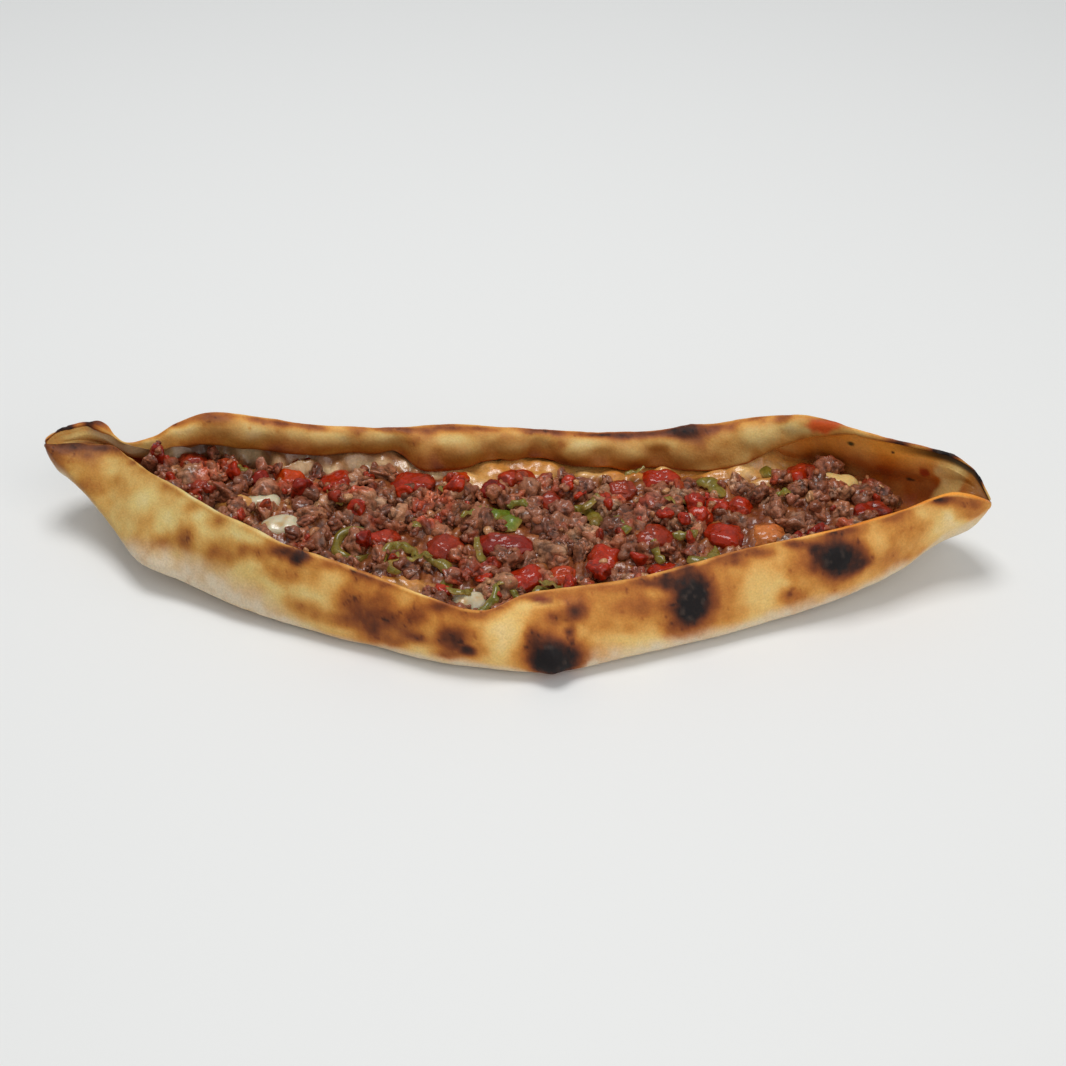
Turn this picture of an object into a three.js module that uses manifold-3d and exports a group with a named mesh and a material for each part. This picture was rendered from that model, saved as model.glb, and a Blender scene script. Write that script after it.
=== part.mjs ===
// A long boat-shaped flatbread, open along its top and filled with diced meat, tomato,
// green pepper and a few lumps of melted cheese.
// Millimetres, +Z up. +X runs along the bread towards its darker end, -Y is the low front
// wall and +Y the high back wall, whose edge is folded in over the filling.

import * as THREE from 'three';
import { ConvexGeometry } from 'three/addons/geometries/ConvexGeometry.js';
import { mergeVertices } from 'three/addons/utils/BufferGeometryUtils.js';
import Module from 'manifold-3d';

const wasm = await Module();
wasm.setup();

// ---- driving dimensions of the bread ----
const HALF_LENGTH = 194.5;
const TIP_RADIUS = 8;
const RIM_THICKNESS = 2.8;
const WALL_THICKNESS = 4.6;
const FLOOR_THICKNESS = 5.6;
const FLAP_THICKNESS = 3.4;
const CORNER_INSET = 15;
const CORNER_RISE = 6;
const WALL_BULGE = 2.6;
const CREST_ROUND = 3.4;
const EDGE_ROUND = 1.7;
const EDGE_THICKNESS = 0.5;
const FULL_FLAP_REACH = 5;
const SLOT_FILL_LENGTH = 26;
const SLOT_SAG = 2.5;

// Each curve is a list of [distance along the bread, value], joined smoothly.
// How far the underside is lifted: flat in the middle, both ends turn up.
const LIFT = [[-194, 28], [-180, 20], [-160, 12], [-140, 7], [-110, 3], [-80, 0.5], [-66, 0],
  [82, 0], [100, 0.5], [130, 3], [160, 8], [180, 14], [194, 21]];
// The outermost line of the front wall, seen from above, and the front wall's free edge.
const FRONT_FOOT = [[-194, 24], [-184, 20], [-165, 4], [-146, -17.5], [-130, -24], [-90, -41],
  [-50, -53], [-15, -63], [15, -66], [50, -55.5], [100, -35.5], [135, -21.5], [160, -7],
  [178, 6], [194, 11]];
const FRONT_RIM = [[-194, 30], [-168, 30.5], [-157, 22], [-147, 12], [-130, -2], [-100, -22],
  [-60, -39], [-30, -51], [-8, -58], [9, -51], [50, -42], [100, -22], [135, -12.5],
  [160, -1.5], [178, 6], [194, 8.5]];
const FRONT_TOP = [[-194, 37], [-180, 36], [-147, 37], [-110, 36], [-80, 32.5], [-40, 29],
  [-5, 26.5], [12, 29.5], [74, 31], [100, 33], [130, 35.5], [160, 38], [176, 39.5],
  [186, 37], [194, 33]];
// The outermost line of the back wall, and the crest of the back wall.
const BACK_FOOT = [[-194, 37], [-184, 44], [-168, 46], [-150, 45], [-125, 49], [-90, 54],
  [-40, 64], [10, 68], [60, 68], [100, 65], [125, 60], [150, 47], [170, 38], [185, 30],
  [194, 22]];
const BACK_CREST = [[-194, 33], [-186, 36], [-178, 40], [-170, 38], [-160, 34], [-150, 37],
  [-130, 41.5], [-100, 44.5], [-50, 53], [0, 57.5], [50, 56.5], [80, 58.5], [108, 57],
  [122, 53], [150, 37.5], [171, 29], [182, 24], [194, 14]];
const BACK_TOP = [[-194, 39], [-186, 41], [-174, 40.5], [-160, 35.5], [-150, 36.7], [-140, 42],
  [-126, 46], [-108, 43], [-80, 36.5], [-40, 33], [0, 31.5], [50, 31], [80, 34],
  [108, 40.5], [130, 44.5], [176, 46], [186, 43.5], [194, 36]];
// How far the back edge is folded in over the filling, and how far the fold hangs down.
const FLAP_REACH = [[-160, 0], [-143, 3], [-125, 6.5], [-90, 5.5], [-52, 3.5], [-35, 14],
  [-12, 8], [10, 5], [30, 10], [60, 7], [84, 11], [98, 10], [112, 5.5], [142, 0]];
const FLAP_DROP = [[-160, 0], [-143, 6], [-120, 8], [-60, 7], [-35, 9], [40, 8], [86, 12],
  [98, 11], [112, 8], [142, 0]];

// ---- driving dimensions of the filling ----
const FILLING_START = -151;
const FILLING_END = 160;
const FILLING_GAP = 0.9;
const TOUCH_GAP = 0.35;
const DICE_PROUD = 4.5;
const FILLING_TOP = [[-152, 24], [-142, 27.5], [-120, 26], [-80, 22.5], [-30, 19.5], [10, 19],
  [60, 20], [110, 22.5], [140, 25], [150, 24], [161, 18]];
const DIE_SIZE = 10.5;
const DIE_SPACING = 9.6;
const DIE_TRIES = 2600;
const MOST_DICE = 96;

// Tomato chunks: [x, y, length, width, thickness, turn in degrees].
const TOMATOES = [
  [-134, 34, 13, 10, 8, 20], [-129, 16, 12, 9, 7, -20], [-92, 26, 12, 13, 13, 10],
  [-90, 41, 13, 8, 7, 15], [-73, 31, 14, 13, 9, 40], [-39, 36, 19, 14, 10, -15],
  [-23, 37, 12, 8, 7, 5], [-50, -7, 16, 9, 8, 30], [-24, -9, 15, 14, 9, 60],
  [0, -9, 22, 12, 7, -5], [9, -26, 15, 12, 9, 35], [24, -25, 10, 11, 9, 0],
  [40, -14, 14, 13, 11, -20], [2, 40, 15, 11, 8, 20], [17, 22, 11, 11, 8, 50],
  [46, 30, 12, 11, 8, 15], [63, 41, 19, 12, 9, -10], [61, -2, 16, 14, 10, 50],
  [95, 20, 11, 10, 8, 70], [88, 0, 16, 13, 10, -25], [104, -1, 13, 12, 10, 15],
  [121, 41, 14, 13, 11, 35], [148, 14, 15, 9, 7, 25], [64, -20, 13, 8, 7, 25],
];
// Pepper strips: [x, y, radius of the curl, arc in degrees, strip width, turn in degrees].
const PEPPERS = [
  [-64, -14, 8, 250, 4.2, 200], [-41, -15, 9, 150, 4, 80], [-27, -27, 11, 140, 4.5, 20],
  [-7, 4, 16, 90, 6.5, 40], [15, -40, 13, 70, 4.5, 55], [30, 10, 12, 95, 4.5, 35],
  [80, 29, 13, 75, 4.5, 40], [104, 41, 22, 65, 4.5, 60], [80, -12, 9, 120, 4.5, 300],
];
const PEPPER_THICKNESS = 3;
// Melted cheese lumps: [x, y, length, width, thickness, turn in degrees].
const CHEESES = [[-91, -4, 17, 12, 9, -10], [-101, 10, 15, 9, 8, 10], [-12, -41, 15, 12, 9, 30],
  [132, 38, 15, 10, 8, -15]];

// ---- small helpers ----
const lerp = THREE.MathUtils.lerp;
const smooth = THREE.MathUtils.smoothstep;

function seededRandom(seed) {
  let state = seed;
  return () => {
    state = (state * 1664525 + 1013904223) % 4294967296;
    return state / 4294967296;
  };
}

// Value of a key curve at x, by monotone cubic interpolation.
function along(keys, x) {
  const last = keys.length - 1;
  if (x <= keys[0][0]) return keys[0][1];
  if (x >= keys[last][0]) return keys[last][1];
  let i = 0;
  while (x > keys[i + 1][0]) i += 1;
  const slope = (k) => (keys[k + 1][1] - keys[k][1]) / (keys[k + 1][0] - keys[k][0]);
  const tangent = (k) => {
    if (k === 0) return slope(0);
    if (k === last) return slope(last - 1);
    const before = slope(k - 1);
    const after = slope(k);
    return before * after <= 0 ? 0 : (2 * before * after) / (before + after);
  };
  const span = keys[i + 1][0] - keys[i][0];
  const t = (x - keys[i][0]) / span;
  const rest = 1 - t;
  return keys[i][1] * rest * rest * (1 + 2 * t) + keys[i + 1][1] * t * t * (3 - 2 * t)
    + span * t * rest * (tangent(i) * rest - tangent(i + 1) * t);
}

// ---- the bread's cross-section ----
// Point on a wall that leans from its foot to its top and bulges to one side.
function wallPoint(foot, top, share, bulge) {
  const dy = top[0] - foot[0];
  const dz = top[1] - foot[1];
  const size = Math.hypot(dy, dz);
  const push = bulge * Math.sin(Math.PI * share);
  return [foot[0] + dy * share - (dz / size) * push, foot[1] + dz * share + (dy / size) * push];
}

// Control points of the outer skin at x, as [y, z], from the front rim down, across the
// underside, up the back wall and over the crest to the edge of the folded-in flap.
function outerControls(x) {
  const low = along(LIFT, x);
  const front = along(FRONT_FOOT, x);
  const back = along(BACK_FOOT, x);
  const inset = Math.min(CORNER_INSET, 0.34 * (back - front));
  const rise = CORNER_RISE + 0.25 * (CORNER_INSET - inset);
  const rim = [along(FRONT_RIM, x), along(FRONT_TOP, x)];
  const crest = [along(BACK_CREST, x), along(BACK_TOP, x)];
  const frontFoot = [front, low + rise];
  const backFoot = [back, low + rise];
  const reach = along(FLAP_REACH, x);
  const drop = along(FLAP_DROP, x);
  const curl = lerp(EDGE_ROUND, CREST_ROUND, smooth(reach, 0, FULL_FLAP_REACH));
  const top = [
    [crest[0] + curl, crest[1] - 1.3 * curl],
    crest,
    [crest[0] - 0.6 * reach - 0.45 * curl, crest[1] - 0.22 * drop - 0.12 * curl],
    [crest[0] - reach - 0.6 * curl, crest[1] - drop - 0.5 * curl],
  ];
  return [
    rim,
    wallPoint(frontFoot, rim, 0.66, WALL_BULGE),
    wallPoint(frontFoot, rim, 0.33, WALL_BULGE),
    frontFoot,
    [front + 0.26 * inset, low + 0.24 * rise],
    [front + inset, low],
    [(front + back) / 2, low],
    [back - inset, low],
    [back - 0.26 * inset, low + 0.24 * rise],
    backFoot,
    wallPoint(backFoot, crest, 0.33, -WALL_BULGE),
    [lerp(top[0][0], backFoot[0], 0.35), lerp(top[0][1], backFoot[1], 0.35)],
    ...top,
  ];
}

// Places on the skin are counted in control points, from 0 at the front rim to 15 at the flap.
// How many steps the skin takes between control points: walls, corners, floor and crest.
const SKIN_END = 15;
const SKIN_STEPS = [[0, 3, 4], [3, 5, 3], [5, 7, 2], [7, 9, 3], [9, 12, 4], [12, 15, 5]];
const SKIN = SKIN_STEPS.flatMap(([from, to, steps]) => (
  Array.from({ length: steps }, (_, i) => lerp(from, to, i / steps))
)).concat([SKIN_END]);
const EDGE_SHARE = 0.75;

// Thickness of the dough at x and u: thin at both edges, thick in the floor.
function thicknessAt(x, u) {
  if (u <= 3) return lerp(RIM_THICKNESS, WALL_THICKNESS, smooth(u, 0, 2));
  if (u <= 7) return lerp(WALL_THICKNESS, FLOOR_THICKNESS, smooth(u, 3, 5));
  if (u <= 12) return lerp(FLOOR_THICKNESS, FLAP_THICKNESS, smooth(u, 7, 12));
  const edge = lerp(EDGE_THICKNESS, RIM_THICKNESS, smooth(along(FLAP_REACH, x), 0, FULL_FLAP_REACH));
  return lerp(FLAP_THICKNESS, edge, smooth(u, 12, 15));
}

// The outer skin at x as a smooth curve, never below its own underside.
function skinCurve(x) {
  const low = along(LIFT, x);
  const points = outerControls(x).map(([y, z]) => new THREE.Vector2(y, z));
  const curve = new THREE.SplineCurve(points);
  return (u) => {
    const p = curve.getPoint(u / (points.length - 1));
    return [p.x, Math.max(p.y, low)];
  };
}

// How far the slot between the two lips is filled in at x, from 0 to 1 at each tip.
function slotFill(x) {
  return smooth(Math.abs(x), HALF_LENGTH - SLOT_FILL_LENGTH, HALF_LENGTH - 4);
}

// Quadratic curve from a to c, drawn towards b.
function bend(a, b, c, t) {
  return [0, 1].map((k) => a[k] * (1 - t) ** 2 + b[k] * 2 * t * (1 - t) + c[k] * t * t);
}

// Where the inner face of a leaning wall would meet the level of the floor.
function insideCorner(wallEnd, higher, floorEnd, limit) {
  const share = (floorEnd[1] - wallEnd[1]) / Math.min(wallEnd[1] - higher[1], -0.05);
  const y = wallEnd[0] + (wallEnd[0] - higher[0]) * share;
  const [low, high] = [Math.min(limit, floorEnd[0]), Math.max(limit, floorEnd[0])];
  return [THREE.MathUtils.clamp(y, low, high), floorEnd[1]];
}

// The outer skin moved inwards by the thickness of the dough, and by extra on top of it.
function insetSkin(x, at, extra) {
  const span = 0.3;
  return (u) => {
    const before = at(Math.max(u - span, 0));
    const after = at(Math.min(u + span, SKIN_END));
    const dy = after[0] - before[0];
    const dz = after[1] - before[1];
    const t = (thicknessAt(x, u) + extra) / Math.hypot(dy, dz);
    const p = at(u);
    return [p[0] - dz * t, p[1] + dy * t];
  };
}

// Outer and inner skins at x; extra thickens the wall, which gives the filling its room.
// The inner skin turns its corners and the fold in plain bends, so that it never loops.
function skins(x, steps, extra) {
  const at = skinCurve(x);
  const inset = insetSkin(x, at, extra);
  const gap = WALL_THICKNESS + extra;
  const front = insideCorner(inset(2), inset(1.5), inset(5), along(FRONT_FOOT, x) + gap);
  const back = insideCorner(inset(10), inset(10.5), inset(7), along(BACK_FOOT, x) - gap);
  const [foldStart, foldEnd] = [inset(11.5), inset(SKIN_END)];
  const foldMiddle = [(foldStart[0] + foldEnd[0]) / 2, (foldStart[1] + foldEnd[1]) / 2];
  const underCrest = along(BACK_TOP, x) - FLAP_THICKNESS - extra - 0.1 * along(FLAP_DROP, x);
  const folded = smooth(along(FLAP_REACH, x), 0, FULL_FLAP_REACH);
  const peak = [foldMiddle[0], foldMiddle[1] + folded * 2 * (underCrest - foldMiddle[1])];
  const outer = steps.map(at);
  const inner = steps.map((u) => {
    if (u >= 2 && u <= 5) return bend(inset(2), front, inset(5), (u - 2) / 3);
    if (u >= 7 && u <= 10) return bend(inset(7), back, inset(10), (u - 7) / 3);
    if (u >= 11.5) return bend(foldStart, peak, foldEnd, (u - 11.5) / 3.5);
    return inset(u);
  });
  const fill = slotFill(x);
  const [first, last] = [inner[0], inner[inner.length - 1]];
  const filled = inner.map((p, i) => {
    const s = i / (inner.length - 1);
    const sag = SLOT_SAG * 4 * s * (1 - s);
    return [lerp(p[0], lerp(first[0], last[0], s), fill),
      lerp(p[1], lerp(first[1], last[1], s) - sag, fill)];
  });
  return [outer, filled];
}

// Rounds a free edge: the point that stands proud of the end of the sheet.
function edgePoint(outer, inner, next) {
  const middle = [(outer[0] + inner[0]) / 2, (outer[1] + inner[1]) / 2];
  const half = Math.hypot(outer[0] - inner[0], outer[1] - inner[1]) / 2;
  const away = [outer[0] - next[0], outer[1] - next[1]];
  const size = Math.hypot(away[0], away[1]);
  return [middle[0] + (away[0] / size) * half * EDGE_SHARE,
    middle[1] + (away[1] / size) * half * EDGE_SHARE];
}

// The closed section of the bread at x, drawn in towards its middle at the very tips.
function breadSection(x) {
  const [outer, inner] = skins(x, SKIN, 0);
  const n = outer.length - 1;
  const section = [
    ...outer,
    edgePoint(outer[n], inner[n], outer[n - 1]),
    ...inner.slice().reverse(),
    edgePoint(outer[0], inner[0], outer[1]),
  ];
  const past = Math.max(0, Math.abs(x) - (HALF_LENGTH - TIP_RADIUS)) / TIP_RADIUS;
  const shrink = Math.sqrt(Math.max(0, 1 - past * past));
  const middle = section.reduce((sum, p) => [sum[0] + p[0], sum[1] + p[1]], [0, 0])
    .map((v) => v / section.length);
  return section.map((p) => [lerp(middle[0], p[0], shrink), lerp(middle[1], p[1], shrink)]);
}

// ---- solids from meshes, and back ----
// Joins rings of [y, z] points at the stations xs into a closed mesh.
function loft(xs, rings) {
  const count = rings[0].length;
  const vertices = [];
  const triangles = [];
  rings.forEach((ring, i) => ring.forEach(([y, z]) => vertices.push(xs[i], y, z)));
  for (let i = 0; i + 1 < rings.length; i += 1) {
    for (let j = 0; j < count; j += 1) {
      const a = i * count + j;
      const b = i * count + ((j + 1) % count);
      triangles.push(a, b, a + count, b, b + count, a + count);
    }
  }
  [0, rings.length - 1].forEach((i) => {
    const middle = rings[i].reduce((sum, p) => [sum[0] + p[0] / count, sum[1] + p[1] / count], [0, 0]);
    const centre = vertices.length / 3;
    vertices.push(xs[i], middle[0], middle[1]);
    for (let j = 0; j < count; j += 1) {
      const a = i * count + j;
      const b = i * count + ((j + 1) % count);
      if (i === 0) triangles.push(centre, b, a);
      else triangles.push(centre, a, b);
    }
  });
  return solidOf(vertices, triangles);
}

function solidOf(vertices, triangles) {
  const solid = new wasm.Manifold(new wasm.Mesh({
    numProp: 3,
    vertProperties: new Float32Array(vertices),
    triVerts: new Uint32Array(triangles),
  }));
  if (solid.volume() > 0) return solid;
  const flipped = [];
  for (let i = 0; i < triangles.length; i += 3) {
    flipped.push(triangles[i], triangles[i + 2], triangles[i + 1]);
  }
  return new wasm.Manifold(new wasm.Mesh({
    numProp: 3,
    vertProperties: new Float32Array(vertices),
    triVerts: new Uint32Array(flipped),
  }));
}

function geometryOf(solid) {
  const mesh = solid.getMesh();
  const geometry = new THREE.BufferGeometry();
  const positions = new Float32Array(mesh.numVert * 3);
  for (let i = 0; i < mesh.numVert; i += 1) {
    for (let k = 0; k < 3; k += 1) positions[3 * i + k] = mesh.vertProperties[mesh.numProp * i + k];
  }
  geometry.setAttribute('position', new THREE.BufferAttribute(positions, 3));
  geometry.setIndex(Array.from(mesh.triVerts));
  return geometry;
}

// The largest of the separate bodies that a cut leaves.
function largestBody(solid) {
  return solid.decompose().reduce((best, body) => (body.volume() > best.volume() ? body : best));
}

// ---- the bread ----
function stations(from, to, count, crowding) {
  const middle = (from + to) / 2;
  const half = (to - from) / 2;
  return Array.from({ length: count }, (_, i) => {
    const s = (2 * i) / (count - 1) - 1;
    return middle + half * lerp(s, Math.sin((Math.PI / 2) * s), crowding);
  });
}

const BREAD_STATIONS = 52;
const STATION_CROWDING = 0.62;
const TIP_TRIM = 0.5;
const breadXs = stations(-HALF_LENGTH + TIP_TRIM, HALF_LENGTH - TIP_TRIM, BREAD_STATIONS, STATION_CROWDING);
const bread = loft(breadXs, breadXs.map(breadSection));

// ---- the filling ----
const FLOOR_POINTS = 10;
const TOP_POINTS = 3;
const FILLING_STATIONS = 25;

// Height of the filling's top at x, y: sunk towards the walls and a little uneven.
function fillingTop(x, y) {
  const middle = (along(FRONT_RIM, x) + along(BACK_CREST, x)) / 2;
  const half = Math.max(6, (along(BACK_CREST, x) - along(FRONT_RIM, x)) / 2);
  const across = Math.min(1, Math.abs(y - middle) / half);
  const waves = 0.9 * Math.sin(x / 13 + 1.3) * Math.cos(y / 11) + 0.6 * Math.sin(x / 7 - y / 9);
  return along(FILLING_TOP, x) + 1.5 - 3.5 * across * across + waves;
}

// Where the inner skin, thickened by the gap, reaches the height of the filling.
function wallCrossing(x, from, to, height) {
  const steps = 60;
  const us = Array.from({ length: steps + 1 }, (_, i) => lerp(from, to, i / steps));
  const inner = skins(x, us, FILLING_GAP)[1];
  const found = inner.findIndex((p) => p[1] >= height);
  return us[found < 0 ? steps : Math.max(found - 1, 0)];
}

function fillingSection(x) {
  const edge = along(FILLING_TOP, x) - DICE_PROUD - 1.5;
  const from = wallCrossing(x, 5, 0.4, edge);
  const to = wallCrossing(x, 7, 11.6, edge);
  const us = Array.from({ length: FLOOR_POINTS }, (_, i) => lerp(from, to, i / (FLOOR_POINTS - 1)));
  const floor = skins(x, us, FILLING_GAP)[1];
  const [first, last] = [floor[0], floor[FLOOR_POINTS - 1]];
  const top = Array.from({ length: TOP_POINTS }, (_, i) => {
    const y = lerp(last[0], first[0], (i + 1) / (TOP_POINTS + 1));
    return [y, Math.max(fillingTop(x, y) - DICE_PROUD, edge)];
  });
  return [...floor, ...top];
}

const fillingXs = stations(FILLING_START, FILLING_END, FILLING_STATIONS, 0.3);
const core = loft(fillingXs, fillingXs.map(fillingSection));

// The eight corners of a box, each knocked about and turned, in the order of their signs.
function boxCorners(size, position, turn, unevenness, random) {
  const rotation = new THREE.Matrix4().makeRotationFromEuler(new THREE.Euler(...turn));
  return Array.from({ length: 8 }, (_, i) => {
    const signs = [i & 1, i & 2, i & 4].map((bit) => (bit ? 0.5 : -0.5));
    const knocked = signs.map((sign, k) => sign * size[k] * (1 + unevenness * (random() - 0.5)));
    return new THREE.Vector3(...knocked).applyMatrix4(rotation).add(position);
  });
}

// A box with those corners, cut off by a share of each edge that meets there.
function chunk(corners, cut) {
  const points = corners.flatMap((corner, i) => {
    if (cut === 0) return [corner];
    const [a, b, c] = [1, 2, 4].map((bit) => corners[i ^ bit].clone().sub(corner).multiplyScalar(cut));
    return [a.clone().add(b), b.clone().add(c), c.clone().add(a)].map((v) => v.add(corner));
  });
  const hull = new ConvexGeometry(points);
  hull.deleteAttribute('normal');
  const merged = mergeVertices(hull, 1e-3);
  return solidOf(Array.from(merged.getAttribute('position').array), Array.from(merged.index.array));
}

// A strip of pepper: a flat bar bent round an arc that lies in the filling's surface.
function strip(radius, arc, width, thickness, swell, position, turn, tilt) {
  const steps = Math.max(4, Math.round(arc / 30));
  const sides = swell > 0 ? 4 : 6;
  const spread = swell > 0 ? 0.78 : 0.55;
  const rotation = new THREE.Matrix4().makeRotationFromEuler(new THREE.Euler(tilt, 0.6 * tilt, turn));
  const middle = new THREE.Vector3(radius * 0.6, 0, 0);
  const vertices = [];
  const triangles = [];
  for (let i = 0; i <= steps; i += 1) {
    const angle = THREE.MathUtils.degToRad(lerp(-arc / 2, arc / 2, i / steps));
    const taper = Math.sqrt(1 - 0.75 * ((2 * i) / steps - 1) ** 4);
    for (let j = 0; j < sides; j += 1) {
      const side = (2 * Math.PI * (j + 0.5)) / sides;
      const r = radius + (spread * width * taper + 1.4 * swell) * Math.cos(side);
      const p = new THREE.Vector3(r * Math.cos(angle), r * Math.sin(angle),
        (spread * thickness * taper + 1.4 * swell) * Math.sin(side));
      p.sub(middle).applyMatrix4(rotation).add(position);
      vertices.push(p.x, p.y, p.z);
    }
  }
  for (let i = 0; i < steps; i += 1) {
    for (let j = 0; j < sides; j += 1) {
      const a = i * sides + j;
      const b = i * sides + ((j + 1) % sides);
      triangles.push(a, a + sides, b, b, a + sides, b + sides);
    }
  }
  for (let j = 1; j + 1 < sides; j += 1) {
    triangles.push(0, j, j + 1);
    triangles.push(steps * sides, steps * sides + j + 1, steps * sides + j);
  }
  return solidOf(vertices, triangles);
}

// Each topping is made twice: as it is, and as the swollen plain form that keeps it clear.
const placed = [];
function isClear(swollen, others) {
  return others.every((other) => swollen.intersect(other).volume() < 1e-6);
}

// Moves a topping outwards from its place, ring by ring, until nothing touches it.
const RING_STEP = 1.5;
const MOST_RINGS = 9;
const RING_PLACES = 12;
function settle(name, x, y, sink, make) {
  for (let i = 0; i < MOST_RINGS * RING_PLACES; i += 1) {
    const ring = i === 0 ? 0 : RING_STEP * Math.ceil(i / RING_PLACES);
    const angle = (2 * Math.PI * i) / RING_PLACES;
    const [px, py] = [x + ring * Math.cos(angle), y + ring * Math.sin(angle)];
    const position = new THREE.Vector3(px, py, fillingTop(px, py) - sink);
    const swollen = make(position, TOUCH_GAP);
    if (isClear(swollen, [bread, ...placed.map((p) => p.solid)])) {
      placed.push({ name, solid: make(position, 0), swollen });
      return;
    }
  }
  throw new Error(`${name} finds no room`);
}

const TOMATO_SEED = 11;
const CHEESE_SEED = 23;
const CHUNK_CUT = 0.24;
function placeChunks(kind, list, seed, unevenness, standProud) {
  list.forEach(([x, y, length, width, thickness, degrees], i) => {
    settle(`${kind}_${i + 1}`, x, y, thickness * (0.5 - standProud), (position, swell) => {
      const random = seededRandom(seed + 97 * i);
      const lean = [0.35 * (random() - 0.5), 0.35 * (random() - 0.5)];
      const turn = [...lean, THREE.MathUtils.degToRad(degrees)];
      const size = [length, width, thickness].map((v) => v + 2.4 * swell);
      const corners = boxCorners(size, position, turn, unevenness, random);
      return chunk(corners, swell > 0 ? 0 : CHUNK_CUT);
    });
  });
}
placeChunks('tomato', TOMATOES, TOMATO_SEED, 0.3, 0.14);
placeChunks('cheese', CHEESES, CHEESE_SEED, 0.2, 0.05);

PEPPERS.forEach(([x, y, radius, arc, width, degrees], i) => {
  settle(`pepper_${i + 1}`, x, y, 0.05 * width, (position, swell) => strip(
    radius,
    arc + (swell > 0 ? 5 : 0),
    width,
    PEPPER_THICKNESS,
    swell,
    position,
    THREE.MathUtils.degToRad(degrees),
    0.22 * Math.sin(3 * i + 1),
  ));
});

// Meat dice, as many as find room clear of the bread, spread evenly over the core.
const MEAT_SEED = 5;
const MEAT_UNEVENNESS = 0.42;
const HEAP_TOLERANCE = 0.12;
function meatDice() {
  const random = seededRandom(MEAT_SEED);
  const spots = [];
  const dice = [];
  for (let i = 0; i < DIE_TRIES && dice.length < MOST_DICE; i += 1) {
    const x = lerp(FILLING_START + 4, FILLING_END - 4, random());
    const y = lerp(along(FRONT_RIM, x) + 5, along(BACK_CREST, x) - 5, random());
    const size = [0, 1, 2].map(() => DIE_SIZE * lerp(0.7, 1.1, random()));
    const turn = [0, 1, 2].map(() => Math.PI * random());
    const sink = lerp(0.2, 0.42, random()) * DIE_SIZE;
    const dieSeed = 1000 * random();
    const near = spots.some((s) => Math.hypot(s[0] - x, s[1] - y) < DIE_SPACING);
    const onTopping = placed.some(({ solid }) => {
      const { min, max } = solid.boundingBox();
      return x > min[0] + 1 && x < max[0] - 1 && y > min[1] + 1 && y < max[1] - 1;
    });
    if (!near && !onTopping) {
      const position = new THREE.Vector3(x, y, fillingTop(x, y) - sink);
      const make = (swell) => {
        const swollenSize = size.map((v) => v + swell);
        const corners = boxCorners(swollenSize, position, turn, MEAT_UNEVENNESS, seededRandom(dieSeed));
        return chunk(corners, 0);
      };
      if (isClear(make(3 * TOUCH_GAP), [bread])) {
        dice.push(make(0));
        spots.push([x, y]);
      }
    }
  }
  return dice;
}

const heap = wasm.Manifold.union([core, ...meatDice()]);
const pockets = wasm.Manifold.union(placed.map(({ swollen }) => swollen));
const meat = largestBody(heap.simplify(HEAP_TOLERANCE).subtract(pockets));

// ---- colours and the finished group ----
const FINISHES = {
  bread: { color: 0xd9a860, roughness: 0.75 },
  meat: { color: 0x7a4a38, roughness: 0.45 },
  tomato: { color: 0xc2281c, roughness: 0.25 },
  pepper: { color: 0x8c9440, roughness: 0.35 },
  cheese: { color: 0xe6d9b8, roughness: 0.4 },
};

function meshOf(name, kind, solid) {
  const material = new THREE.MeshStandardMaterial({ ...FINISHES[kind], metalness: 0 });
  const mesh = new THREE.Mesh(geometryOf(solid), material);
  mesh.name = name;
  return mesh;
}

const flatbread = new THREE.Group();
flatbread.add(meshOf('bread', 'bread', bread));
flatbread.add(meshOf('meat_filling', 'meat', meat));
placed.forEach((p) => flatbread.add(meshOf(p.name, p.name.split('_')[0], p.solid)));

// The origin is the middle of the underside: half of the length and of the width.
const box = new THREE.Box3().setFromObject(flatbread);
const middle = box.getCenter(new THREE.Vector3());
flatbread.position.set(-middle.x, -middle.y, -box.min.z);
flatbread.updateMatrixWorld(true);

export default flatbread;
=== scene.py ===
"""A boat-shaped flatbread filled with diced meat, tomato, green pepper and melted cheese.

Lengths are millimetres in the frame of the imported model; meshes are made in metres.
+X runs along the bread, -Y is its low front wall, +Y its high back wall, +Z is up.
"""
import math

import bmesh
import bpy
import numpy as np
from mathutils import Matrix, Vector


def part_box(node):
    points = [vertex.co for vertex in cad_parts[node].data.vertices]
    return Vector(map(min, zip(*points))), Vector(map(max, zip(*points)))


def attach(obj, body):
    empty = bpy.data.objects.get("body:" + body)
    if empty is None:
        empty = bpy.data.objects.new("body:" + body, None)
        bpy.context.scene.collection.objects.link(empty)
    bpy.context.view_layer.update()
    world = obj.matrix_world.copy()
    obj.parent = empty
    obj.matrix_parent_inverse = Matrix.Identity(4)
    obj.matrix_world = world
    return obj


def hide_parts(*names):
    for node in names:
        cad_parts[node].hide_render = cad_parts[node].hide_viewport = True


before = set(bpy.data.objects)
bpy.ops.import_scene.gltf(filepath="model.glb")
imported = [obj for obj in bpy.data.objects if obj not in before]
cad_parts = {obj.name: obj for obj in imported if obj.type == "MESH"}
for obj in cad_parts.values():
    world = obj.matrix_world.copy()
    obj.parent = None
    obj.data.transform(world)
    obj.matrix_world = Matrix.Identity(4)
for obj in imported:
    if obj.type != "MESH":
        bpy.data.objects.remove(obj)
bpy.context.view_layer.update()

MM = 0.001

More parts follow.
